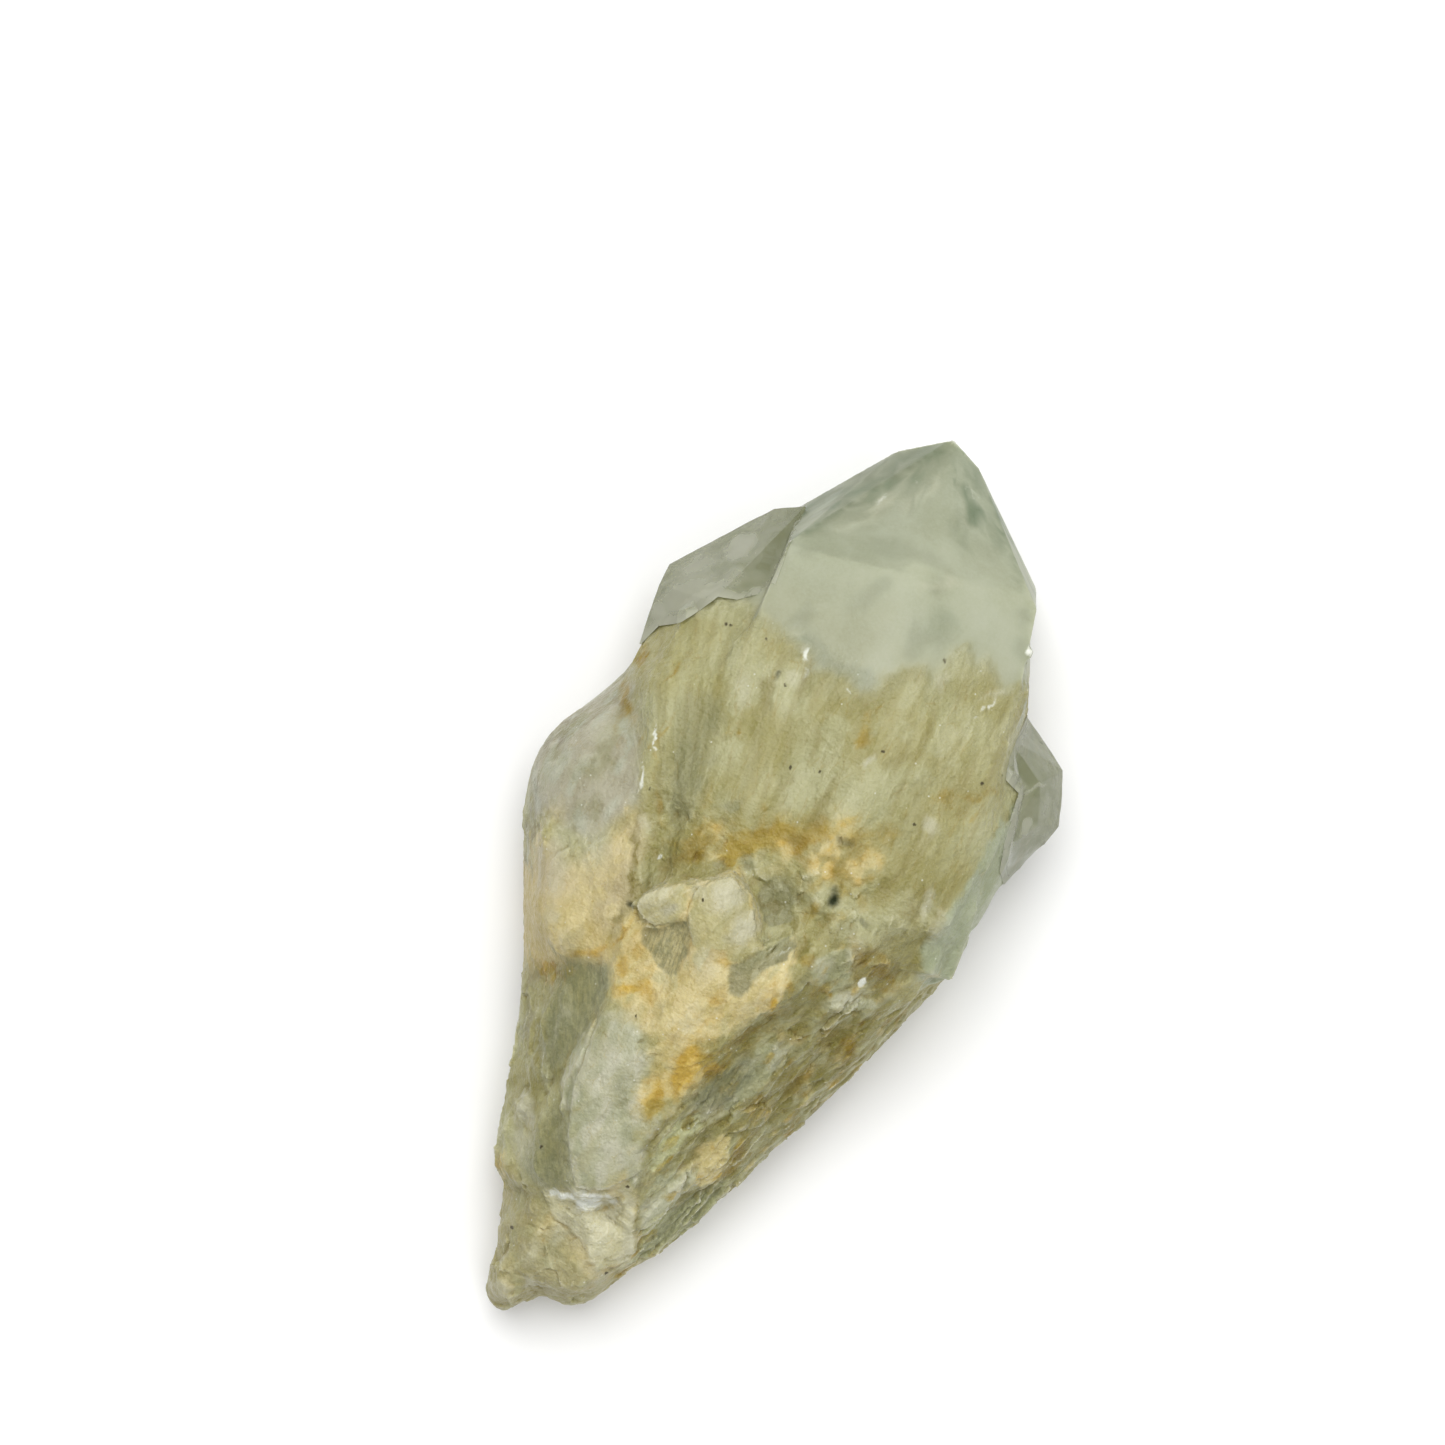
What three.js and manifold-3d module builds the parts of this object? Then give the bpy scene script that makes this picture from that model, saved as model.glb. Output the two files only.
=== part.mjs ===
// A natural cluster of quartz crystals grown together, broken across at its lower end.
// It lies on its back on a flat face: +Z up, +Y towards the point of the main crystal, millimetres.

import * as THREE from 'three';
import { ConvexGeometry } from 'three/addons/geometries/ConvexGeometry.js';
import { mergeVertices } from 'three/addons/utils/BufferGeometryUtils.js';
import Module from 'manifold-3d';

const wasm = await Module();
wasm.setup();

// Driving dimensions
const TIP_Y = 45; // from the origin to the point of the main crystal
const END_Y = -49; // from the origin to the broken lower end
const MAIN_WIDTH = 24; // across the main crystal below its point
const MAIN_DEPTH = 23;
const MAIN_TIP_X = -2.3;
const MAIN_AXIS_Z = 14.5;
const MAIN_LEAN = 7.5; // degrees from +Y towards -X
const MAIN_POINT = 13.5; // length of the six-sided point
const MAIN_FLARE = [1.28, 1.05]; // how much wider and deeper the main crystal is at its root
const REST_LEVEL = 0; // the flat face that the cluster lies on
const FAR = 80; // further out than any part of the stone

const SLIVER_FLATNESS = 0.34; // half the depth of a slender crystal, as a share of its width
const SLIVER_STAND = 0.85; // takes the relief of every slender crystal down together
const SLIVER_POINT = 0.7; // length of a slender crystal's point, as a share of its width
const SLIVER_ROOT = 0.6; // relief left at its root, as a share of that at its tip
const SLIVER_ROLL = 14; // degrees that it may be turned about its own length, either way
const SLIVER_SHOULDERS = [0.75, 1.25]; // how unevenly the faces of its point start
const SLIVER_BURIED = 0.3; // how far its tip is drawn back, as a share of its width

const LUMP_CORNERS = 11;
const LUMP_SINK = 0.2; // how far a lump's middle lies below the skin, as a share of its size
const LUMP_FLATNESS = 0.8;
const LUMP_REACH = [0.8, 1.1]; // how unevenly far its corners lie from its middle
const LUMP_SWAY = 0.4; // radians that a corner may stray, either way
const GOLDEN_ANGLE = Math.PI * (3 - Math.sqrt(5)); // from one corner of a lump to the next
const CHIP_HEIGHT = 1.6; // height of a chip, as a share of its width

const FLAKE_CORNERS = 9;
const FLAKE_SWAY = 0.35; // how far a corner may stray towards the next one
const FLAKE_PROUD = [-0.4, 1]; // how unevenly its edge stands out of the skin, as a share of its relief
const FLAKE_THICK = 1.5;

const SIDES = 6;
const EVEN_SHOULDERS = [1, 1, 1, 1, 1, 1];
const WELD = 1e-4; // points closer than this are one point

const radians = THREE.MathUtils.degToRad;

// Three ways of looking at the stone, each with its own two coordinates across the view.
const FRONT = { out: new THREE.Vector3(0, 0, 1), place: (x, y) => new THREE.Vector3(x, y, FAR) };
const LEFT = { out: new THREE.Vector3(-1, 0, 0), place: (y, z) => new THREE.Vector3(-FAR, y, z) };
const RIGHT = { out: new THREE.Vector3(1, 0, 0), place: (y, z) => new THREE.Vector3(FAR, y, z) };

// A seeded generator, so that the small forms fall in the same places each time.
const SEED_STEP = 16807;
const SEED_RANGE = 2147483647;
let seed = 20;
function random(low = 0, high = 1) {
  seed = (seed * SEED_STEP) % SEED_RANGE;
  return low + ((seed - 1) / (SEED_RANGE - 1)) * (high - low);
}

function point([x, y, z]) {
  return new THREE.Vector3(x, y, z);
}

// Solids are joined and cut as closed meshes that hold positions only.
function solidOf(geometry) {
  const bare = geometry.clone();
  bare.deleteAttribute('normal');
  bare.deleteAttribute('uv');
  const merged = mergeVertices(bare, WELD);
  return new wasm.Manifold(new wasm.Mesh({
    numProp: 3,
    vertProperties: new Float32Array(merged.attributes.position.array),
    triVerts: new Uint32Array(merged.index.array),
  }));
}

function geometryOf(solid) {
  const mesh = solid.getMesh();
  const geometry = new THREE.BufferGeometry();
  geometry.setAttribute('position', new THREE.BufferAttribute(new Float32Array(mesh.vertProperties), 3));
  geometry.setIndex(new THREE.BufferAttribute(new Uint32Array(mesh.triVerts), 1));
  geometry.computeVertexNormals();
  return geometry;
}

// The outermost surface alone: pockets that the joined forms close off inside the stone are filled.
function outerShell(geometry) {
  const index = geometry.index.array;
  const parent = Array.from({ length: geometry.attributes.position.count }, (_, vertex) => vertex);
  const find = (vertex) => {
    let top = vertex;
    while (parent[top] !== top) top = parent[top];
    parent[vertex] = top;
    return top;
  };
  for (let corner = 0; corner < index.length; corner += 3) {
    const top = find(index[corner]);
    parent[find(index[corner + 1])] = top;
    parent[find(index[corner + 2])] = top;
  }
  const faces = new Map();
  for (let corner = 0; corner < index.length; corner += 3) {
    const shell = find(index[corner]);
    if (!faces.has(shell)) faces.set(shell, []);
    faces.get(shell).push(...index.slice(corner, corner + 3));
  }
  const largest = [...faces.values()].reduce((best, shell) => (shell.length > best.length ? shell : best));
  geometry.setIndex(largest);
  return geometry;
}

function join(solids) {
  return solids.reduce((whole, solid) => whole.add(solid));
}

// Finds where a straight look from outside meets the stone.
function skinOf(solid) {
  const skin = new THREE.Mesh(geometryOf(solid), new THREE.MeshBasicMaterial({ side: THREE.DoubleSide }));
  const look = new THREE.Raycaster();
  return (view, a, b) => {
    look.set(view.place(a, b), view.out.clone().negate());
    const hits = look.intersectObject(skin);
    if (hits.length === 0) throw new Error(`nothing of the stone at ${a}, ${b}`);
    return hits[0].point;
  };
}

// A six-sided crystal from its root to its tip. Width and depth are across the corners below the point.
// A flat below 1 makes the faces in front and behind flatter; more adds corners of its own to the point.
function crystal({
  root, tip, width, depth, length, out = FRONT.out, roll = 0, flare = [1, 1], flat = 1,
  shoulders = EVEN_SHOULDERS, more = [],
}) {
  const start = point(root);
  const end = point(tip);
  const axis = end.clone().sub(start).normalize();
  const across = new THREE.Vector3().crossVectors(axis, out).normalize();
  const ahead = new THREE.Vector3().crossVectors(across, axis);
  const corners = [end, ...more.map(point)];
  for (let side = 0; side < SIDES; side += 1) {
    const angle = radians((360 / SIDES) * side + roll);
    const rise = Math.sign(Math.sin(angle)) * Math.abs(Math.sin(angle)) ** flat;
    const wide = across.clone().multiplyScalar((Math.cos(angle) * width) / 2);
    const deep = ahead.clone().multiplyScalar((rise * depth) / 2);
    corners.push(start.clone().addScaledVector(wide, flare[0]).addScaledVector(deep, flare[1]));
    corners.push(end.clone().addScaledVector(axis, -length * shoulders[side]).add(wide).add(deep));
  }
  return solidOf(new ConvexGeometry(corners));
}

// A broken block: its widest outline, the corners of its upper face, and a foot drawn in below.
function block({ girdle, crown, foot = 0.7, bottom = REST_LEVEL }) {
  const outline = girdle.map(point);
  const middle = outline.reduce((sum, corner) => sum.add(corner), new THREE.Vector3())
    .divideScalar(outline.length);
  const base = outline.map((corner) => middle.clone().lerp(corner, foot).setZ(bottom));
  return solidOf(new ConvexGeometry([...outline, ...crown.map(point), ...base]));
}

// A broken plate with a jagged outline. The middle of its top is at height top,
// and it is tipped by two angles, about X and about Y.
function plate({ outline, top, thick, tip = [0, 0] }) {
  const middle = outline.reduce(([sx, sy], [x, y]) => [sx + x, sy + y], [0, 0])
    .map((sum) => sum / outline.length);
  const shape = new THREE.Shape(outline.map(([x, y]) => new THREE.Vector2(x - middle[0], y - middle[1])));
  const slab = new THREE.ExtrudeGeometry(shape, { depth: thick, bevelEnabled: false });
  slab.translate(0, 0, -thick);
  slab.rotateX(radians(tip[0]));
  slab.rotateY(radians(tip[1]));
  slab.translate(middle[0], middle[1], top);
  return solidOf(slab);
}

// A slender crystal that lies in the stone's skin: it stands proud by its relief at the tip that shows
// and sinks into the stone at its root. Both ends are places in a view of the stone.
function sliver(skin, view, [tipA, tipB, rootA, rootB, width, relief]) {
  const half = SLIVER_FLATNESS * width;
  const roll = random(-SLIVER_ROLL, SLIVER_ROLL);
  const proud = SLIVER_STAND * relief;
  const tip = skin(view, tipA, tipB).addScaledVector(view.out, proud - half);
  const root = skin(view, rootA, rootB).addScaledVector(view.out, SLIVER_ROOT * proud - half);
  const buried = root.clone().sub(tip).setLength(SLIVER_BURIED * width);
  const shoulders = EVEN_SHOULDERS.map(() => random(...SLIVER_SHOULDERS));
  return crystal({
    root: root.toArray(),
    tip: tip.sub(buried).toArray(),
    width,
    depth: 2 * half,
    length: SLIVER_POINT * width,
    out: view.out,
    roll,
    shoulders,
  });
}

function mainCrystal() {
  const tip = [MAIN_TIP_X, TIP_Y, MAIN_AXIS_Z - 1];
  return crystal({
    root: [tip[0] + TIP_Y * Math.tan(radians(MAIN_LEAN)), 0, MAIN_AXIS_Z],
    tip,
    width: MAIN_WIDTH / Math.cos(radians(30)),
    depth: MAIN_DEPTH,
    length: MAIN_POINT,
    roll: 30,
    flare: MAIN_FLARE,
    flat: 0.6,
    shoulders: [0.99, 1.02, 1.07, 0.74, 1, 0.79],
    more: [[1, 43.6, MAIN_AXIS_Z - 1.5], [-6.7, 41.9, MAIN_AXIS_Z - 4]],
  });
}

// The clear crystal behind the left shoulder of the main one.
function leftShoulderCrystal() {
  return crystal({
    root: [-8, -6, 11],
    tip: [-12.4, 33.4, 11],
    width: 21.6,
    depth: 17.5,
    length: 11.5,
    flat: 0.8,
    more: [[-15, 32, 10], [-21.8, 23, 10]],
  });
}

// The trunk of the bundle that leans to the left, under its slender crystals.
function leaningTrunk() {
  return crystal({
    root: [-5, -14, 12.5],
    tip: [-18.2, 21, 12.5],
    width: 13,
    depth: 22,
    length: 8,
    flare: [1.15, 1],
  });
}

// The narrow crystal along the right side of the main one, whose point makes a notch in the outline.
function rightSideCrystal() {
  return crystal({
    root: [15.4, -2, 15],
    tip: [12.1, 31.2, 15],
    width: 4.4,
    depth: 13,
    length: 6.5,
    flare: [1.5, 1],
  });
}

const ROUNDED_LEFT_CRYSTAL = {
  girdle: [[-26.1, -0.5, 10], [-25.8, 4, 10], [-24.8, 5.8, 10], [-23.3, 8, 10], [-21, 11.2, 10],
    [-12, 6, 10], [-8, -10, 10], [-24.6, -4, 9]],
  crown: [[-19.8, 8.6, 17.3], [-17.5, 5.8, 19.8], [-15, 1, 21.5], [-13.5, -3, 22], [-18.5, -4, 20],
    [-22, -3.5, 17.2], [-22.6, 0.5, 17.8], [-21.8, 4, 18], [-24, 4.6, 14.6], [-24.8, 0, 14.2],
    [-22.4, 7, 15.5], [-20, 3, 19.5]],
  foot: 0.72,
  bottom: 2,
};

const RIGHT_CRYSTAL = {
  girdle: [[13, 24.8, 12], [15.2, 24.1, 12], [17, 23.1, 12], [20.4, 21, 12], [21.3, 18.8, 12], [22.3, 16, 12],
    [21.8, 14, 12], [20, 11.9, 12], [18.5, 5, 12], [6, 4, 12], [6, 22, 12]],
  crown: [[14, 21.6, 18], [18.8, 18.9, 16], [20.3, 15.2, 15], [17.7, 11, 18], [10, 6, 22], [10, 21, 20]],
  foot: 0.72,
  bottom: 4,
};

const RIGHT_SLAB = {
  girdle: [[18.6, 17.6, 13], [19.5, 12, 13], [19.5, 8, 13], [19.3, 4, 13], [18.5, 2.8, 13], [14, 3, 13],
    [14, 17, 13]],
  crown: [[17.7, 17, 17.6], [16.9, 11, 20.2], [16.2, 6, 21], [17.6, 3.4, 19], [19, 11, 17.4],
    [18.9, 6, 17.4]],
  bottom: 6,
};

// The slope that takes the edge off the main crystal above the slab.
const RIGHT_SLOPE = [[15, 26, 24.2], [15.4, -6, 23.4], [24, 26, 9], [24, -6, 9], [24, 26, 40], [24, -6, 40],
  [15, 26, 40], [15.4, -6, 40]];

// The back, which ends in the flat face that the cluster lies on.
const BACK_BLOCK = {
  girdle: [[-15, 17, 9], [-1, 25, 9], [11, 20, 9], [17, 3, 8], [13, -13, 8], [5, -34, 7], [-2, -42, 6],
    [-8, -41, 6], [-13, -28, 7], [-20, -9, 8], [-22, 2, 8]],
  crown: [[-8, 10, 14], [8, 10, 14], [-4, -30, 12]],
  foot: 0.82,
};

// The broken lower half, block by block.
const LOWER_BLOCKS = [
  { // under the rough hollow
    girdle: [[-13, 10, 12], [14, 10, 12], [16, -8, 12], [-14, -8, 12]],
    crown: [[-9, 9, 25], [7, 9, 26], [9, -1, 24.8], [6, -9, 25], [-8, -9, 24.5], [-10, 0, 24]],
  },
  { // right flank
    girdle: [[19.3, 3, 11], [19.2, -0.5, 10], [18.6, -1.8, 10], [17.2, -6, 9], [15.4, -10, 9],
      [13.4, -15.5, 9], [12.9, -19, 9], [4, -20, 9], [2, 0, 9]],
    crown: [[18, 2.6, 19], [14.6, 2.4, 23], [16.4, -3, 17.5], [8, 2, 26], [7, -8, 24.5], [4, -14, 22.5],
      [8, -17, 17], [12.4, -11, 16]],
  },
  { // right flank, lower down
    girdle: [[13.4, -15.5, 9], [13, -19, 9], [11.6, -20.6, 8], [10.2, -23.4, 8], [8.2, -28.7, 8],
      [6.1, -34.8, 8], [5.4, -37.2, 8], [3.5, -39.6, 8], [-4, -38, 8], [-4, -14, 8]],
    crown: [[3, -12.5, 24], [1.2, -18, 23], [0.2, -25, 21.5], [0, -31, 19.5], [1.6, -36, 15], [7.5, -17, 17],
      [4.6, -30, 14]],
  },
  { // middle, under the cream plates
    girdle: [[-12, -8, 10], [6, -8, 10], [4, -34, 8], [-6, -37, 8], [-12, -24, 9]],
    crown: [[-10, -9, 24.5], [2.5, -8, 26], [2.9, -12.5, 25], [1.2, -18, 23.6], [0, -30, 20.5],
      [-5, -34.5, 18.5], [-9.5, -25, 20.5], [-10.2, -14, 22.8]],
  },
  { // left flank
    girdle: [[-25.6, -2, 9], [-24, -6, 9], [-21, -11, 9], [-18.8, -16, 9], [-17.5, -19.7, 9], [-9, -18, 10],
      [-6, -4, 10]],
    crown: [[-21.5, -3, 17.8], [-17.5, -2, 21], [-11.5, -5, 24], [-10.5, -13.5, 22], [-14.5, -14.6, 18.8],
      [-18.5, -12, 16]],
  },
  { // left flank, lower down
    girdle: [[-17.5, -19.7, 9], [-15.8, -22.7, 9], [-14.4, -30.5, 8], [-13.8, -32.8, 8], [-12.9, -36.3, 8],
      [-11.3, -37.2, 8], [-4, -38, 8], [-4, -16, 9]],
    crown: [[-14, -16, 17.6], [-10.3, -14.5, 21], [-10, -26, 19.2], [-5.5, -35, 17.4], [-9.5, -36.5, 13.5],
      [-12.8, -26, 14.6]],
  },
  { // lower end
    girdle: [[-11.3, -37, 7], [-9.8, -40.5, 7], [-9, -43.8, 7], [-8.7, -45.3, 7], [-1.5, -45.6, 7],
      [0.9, -45, 7], [1.5, -43.8, 7], [3.5, -39.6, 7], [5, -35, 7], [-12, -34, 7]],
    crown: [[-9, -37, 12.5], [-4, -36, 16.5], [1.8, -36.5, 14.5], [-6.5, -44, 11.5], [-1, -43.6, 12],
      [0.8, -41, 12.5]],
  },
  { // last lump of the lower end
    girdle: [[-9.1, -45, 6], [-8, -48.3, 6], [-5.9, END_Y, 6], [-5.2, -47.7, 6], [-3.5, -45.7, 6],
      [-5, -41, 6], [-8.9, -42, 6]],
    crown: [[-8, -45.5, 10], [-6.2, -47.6, 9], [-5.6, -45, 10.5], [-7.5, -42.5, 11.5]],
  },
];

// Slender crystals on the front: tip x and y, root x and y, width, relief.
const LEANING_BUNDLE = [
  [-20.7, 14.6, -13.6, -0.5, 2.8, 0.7],
  [-19.2, 17, -12.2, -5, 3.2, 0.8],
  [-17, 18.2, -11.4, -3.5, 3.6, 0.8],
  [-14.6, 19.5, -10.4, -2, 4.2, 0.9],
  [-17.9, 20.4, -15, 11, 3, 0.6],
  [-15.3, 22.4, -13.2, 13, 3, 0.6],
  [-13.2, 24, -12, 14, 2.6, 0.7],
];
const PARALLEL_CRYSTALS = [
  [-10.9, 21.6, -9.4, 3, 5.4, 1.1],
  [-7.1, 20.9, -6.9, 4.5, 4, 0.9],
  [-2.7, 20.4, -3.2, 3.5, 5.8, 1.1],
  [0.9, 19.6, 0.9, 5, 4.4, 0.9],
  [4.1, 24.2, 3.8, 8, 4.4, 1.1],
  [6.9, 27.8, 6.4, 10, 3.8, 0.8],
  [9.1, 27.1, 8.8, 11, 3, 0.7],
  [11.1, 26, 10.8, 9, 3.4, 0.7],
  [12.9, 27, 13.2, 10, 3.2, 0.7],
  [-9.9, 16.4, -9.5, 10.2, 3, 1.7],
  [-5.4, 16, -5.6, 5, 2, 1.3],
  [3.4, 14.3, 4, 6, 3.4, 1.9],
  [6.8, 21, 6.8, 7.5, 3.2, 1.5],
  [9.4, 20.8, 9.4, 4, 4, 1.4],
  [12.5, 22, 12.6, 2, 4, 1.3],
  [15, 20, 15, 3, 3.2, 1.1],
  [11.2, 12.7, 11, 1, 4, 1.9],
  [8, 12.8, 8, 3.5, 3, 1.8],
  [14.6, 13.6, 14.8, -1, 3, 1.5],
  [16.4, 18.4, 16.4, 9, 2.6, 0.9],
];
const FLANK_BLADES = [
  [15.6, 8.2, 17.2, -2.5, 2.4, 0.7],
  [17.3, 6.6, 18.2, -1.6, 2.2, 0.8],
  [12.9, 5, 13.6, -2.4, 2.4, 0.9],
  [14.2, 5.4, 15.2, -6, 2.8, 0.8],
  [11.6, 1.8, 12.6, -8, 3.4, 0.9],
  [9.8, -0.2, 8.6, -9.6, 3.6, 1],
  [13.6, -3.4, 11.6, -14.5, 3.4, 0.8],
  [16, -3.2, 13.4, -13, 2.4, 0.7],
  [9.4, -8.6, 6.8, -23.5, 3.4, 0.9],
  [12.3, -11, 9.4, -22.5, 3, 0.8],
  [6.9, -13.7, 4.6, -28.5, 2.8, 1.1],
  [4.5, -16.3, 1.7, -26.5, 3, 0.7],
  [7, -19.8, 5.8, -28.6, 3, 1.5],
  [3.3, -28.2, 2.4, -35.8, 3, 1.1],
  [5.6, -29.4, 3.9, -37.8, 2.6, 0.7],
  [1.3, -26, 1, -33, 2.2, 0.9],
  [8.8, -23.8, 6.4, -33, 2.2, 0.6],
];

// Small crystals scattered over a stretch of the front, parallel to their neighbours.
const SCATTERS = [
  {
    count: 16, x: [-12, 15], y: [7, 20], lean: [6, -2], width: [1.3, 2.6], long: [3, 7], relief: [0.8, 1.4],
  },
  {
    count: 8, x: [-18.5, -12], y: [3, 17], lean: [26, 16], width: [1.2, 2.2], long: [4, 8], relief: [0.6, 1],
  },
  {
    count: 8, x: [8, 16.5], y: [-10, 4], lean: [-6, -2], width: [1.4, 2.6], long: [3, 6], relief: [0.5, 1],
  },
  {
    count: 6, x: [3, 9], y: [-28, -12], lean: [-8, -14], width: [1.2, 2.2], long: [3, 6], relief: [0.4, 0.8],
  },
];

function trunk() {
  const slope = solidOf(new ConvexGeometry(RIGHT_SLOPE.map(point)));
  const blocks = [ROUNDED_LEFT_CRYSTAL, RIGHT_CRYSTAL, RIGHT_SLAB, BACK_BLOCK, ...LOWER_BLOCKS].map(block);
  return join([mainCrystal().subtract(slope), leftShoulderCrystal(), leaningTrunk(), rightSideCrystal(),
    ...blocks]);
}

// Degrees of lean go evenly from one side of the stretch to the other.
function scatter(skin, { count, x, y, lean, width, long, relief }) {
  return Array.from({ length: count }, () => {
    const across = random();
    const tipX = THREE.MathUtils.lerp(x[0], x[1], across);
    const tipY = random(...y);
    const slant = radians(THREE.MathUtils.lerp(lean[0], lean[1], across));
    const reach = random(...long);
    const rootX = tipX + reach * Math.sin(slant);
    const rootY = tipY - reach * Math.cos(slant);
    return sliver(skin, FRONT, [tipX, tipY, rootX, rootY, random(...width), random(...relief)]);
  });
}

// Cream plates broken across: jagged outlines, clockwise from the top, with flat tops.
const PLATES = [
  { // the largest, with the highest point of its edge at the upper left
    outline: [[-4.2, -0.4], [-3.1, -1.6], [-1.9, -2.4], [-0.6, -3], [-0.2, -3.9], [0.6, -5], [0.9, -6.3],
      [0.3, -7.6], [-0.9, -9], [-1.3, -14], [-2, -19], [-4.7, -19.5], [-5, -12], [-4.8, -8.2], [-5.7, -7.4],
      [-6.6, -6], [-6.8, -4.8], [-7, -3.2], [-5.8, -2.4], [-4.9, -2.1]],
    top: 27.3,
    thick: 5,
    tip: [11, 0],
  },
  { // the leaf at its left
    outline: [[-8, -3.7], [-6.7, -4.3], [-6.4, -6.2], [-7.4, -7.7], [-8.6, -8.9], [-9.9, -8.5], [-10.8, -8.3],
      [-11.5, -7.4], [-10.3, -5.4], [-9, -4.1]],
    top: 26.1,
    thick: 4,
    tip: [8, -10],
  },
  { // below the dark window
    outline: [[-9.6, -9.3], [-8.3, -11.2], [-6.2, -12.2], [-4.6, -11.7], [-4.2, -19], [-6, -23.8],
      [-9.3, -24.6], [-10, -18], [-10.5, -14], [-11.4, -10.6], [-10.7, -9]],
    top: 23.6,
    thick: 4,
    tip: [10, -5],
  },
  { // the blade at its right
    outline: [[3.4, -3.2], [4.3, -4.4], [3.5, -6.3], [2.6, -8.5], [1.4, -10.4], [-1.2, -10], [-0.3, -8.2],
      [0.9, -7.4], [2, -5.2]],
    top: 26.7,
    thick: 4,
    tip: [9, 8],
  },
  { // the right-hand plate, down to the ridge
    outline: [[5.3, -4.8], [6.4, -6.4], [6.1, -8.2], [5.4, -10.6], [3.6, -12.8], [2.6, -15.5], [1, -18.4],
      [-1.8, -21], [-2.2, -14], [-0.8, -10.4], [2.6, -8.9], [4.1, -6.6]],
    top: 25.7,
    thick: 4,
    tip: [12, 9],
  },
  { // the long one down to the lower end
    outline: [[-4.6, -19], [-0.6, -18.6], [1, -19.4], [0.4, -25], [0.1, -30.4], [-2, -33.6], [-5.1, -34.8],
      [-7.6, -30.6], [-9.6, -25.2], [-9, -21]],
    top: 22,
    thick: 4,
    tip: [14, 0],
  },
  { // cream plate on the left flank
    outline: [[-15, -1], [-11.6, -6.6], [-10.9, -10], [-11, -13.5], [-14.6, -14.4], [-16.5, -15.4],
      [-19.4, -13], [-22, -8], [-23.4, -4.2], [-20, -3.4], [-17.6, -1.2]],
    top: 20,
    thick: 5,
    tip: [4, -27],
  },
  { // the dark face below it
    outline: [[-10.4, -13.6], [-10, -18], [-9.6, -24], [-12.6, -24.6], [-15.4, -21.6], [-15.2, -17.6],
      [-14.6, -14.8]],
    top: 18.6,
    thick: 4,
    tip: [7, -24],
  },
  { // the slab beside the long plate
    outline: [[-10.6, -25.4], [-7.7, -30.4], [-5.2, -34.9], [-7, -35.3], [-9.9, -35.2], [-11.2, -30]],
    top: 17.6,
    thick: 4,
    tip: [9, -18],
  },
];

// Low crystals and broken edges along both sides: tip y and z, root y and z, width, relief.
const LEFT_SIDE_BLADES = [
  [18, 7, 3, 6, 5, 0.5],
  [3, 6, -11, 5, 5, 0.4],
  [-6, 6, -17, 5, 4.6, 0.3],
  [-15, 5, -26, 4.5, 4.4, 0.4],
  [-25, 5, -35, 4.5, 4, 0.3],
  [-31, 4, -41, 4, 3.6, 0.4],
];
const RIGHT_SIDE_BLADES = [
  [16, 8, 4, 6, 5, 0.4],
  [3, 5, -9, 4.5, 5, 0.5],
  [-4, 9, -14, 7, 4, 0.3],
  [-9, 5, -20, 4.5, 4.4, 0.5],
  [-20, 4, -31, 4, 4.2, 0.4],
  [-25, 7, -34, 6, 3.6, 0.2],
  [-33, 5, -42, 5, 3.4, 0.4],
];

// A lump: an angular chunk with corners at uneven distances from its middle.
function lump([x, y, z], size, flatness = LUMP_FLATNESS) {
  const corners = Array.from({ length: LUMP_CORNERS }, (_, corner) => {
    const rise = 1 - (2 * corner + 1) / LUMP_CORNERS;
    const turn = corner * GOLDEN_ANGLE + random(-LUMP_SWAY, LUMP_SWAY);
    const ring = Math.sqrt(1 - rise * rise);
    return new THREE.Vector3(ring * Math.cos(turn), ring * Math.sin(turn), rise * flatness)
      .multiplyScalar((random(...LUMP_REACH) * size) / 2);
  });
  const chunk = new ConvexGeometry(corners);
  chunk.translate(x, y, z);
  return solidOf(chunk);
}

// A lump on the front, sunk a little into the skin.
function lumpOn(skin, [x, y, size]) {
  return lump(skin(FRONT, x, y).addScaledVector(FRONT.out, -LUMP_SINK * size).toArray(), size);
}

// A low broken flake on the front, longest towards +Y before it is turned, that follows the skin.
function flake(skin, [x, y, length, width, turn, relief]) {
  const heading = radians(turn);
  const edge = Array.from({ length: FLAKE_CORNERS }, (_, corner) => {
    const angle = ((corner + random(-FLAKE_SWAY, FLAKE_SWAY)) / FLAKE_CORNERS) * 2 * Math.PI;
    const place = new THREE.Vector2((Math.sin(angle) * width) / 2, (Math.cos(angle) * length) / 2)
      .rotateAround(new THREE.Vector2(), heading);
    return skin(FRONT, x + place.x, y + place.y)
      .addScaledVector(FRONT.out, random(...FLAKE_PROUD) * relief);
  });
  const crest = skin(FRONT, x, y).addScaledVector(FRONT.out, relief);
  const foot = edge.map((corner) => corner.clone().addScaledVector(FRONT.out, -FLAKE_THICK));
  return solidOf(new ConvexGeometry([...edge, crest, ...foot]));
}

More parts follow.
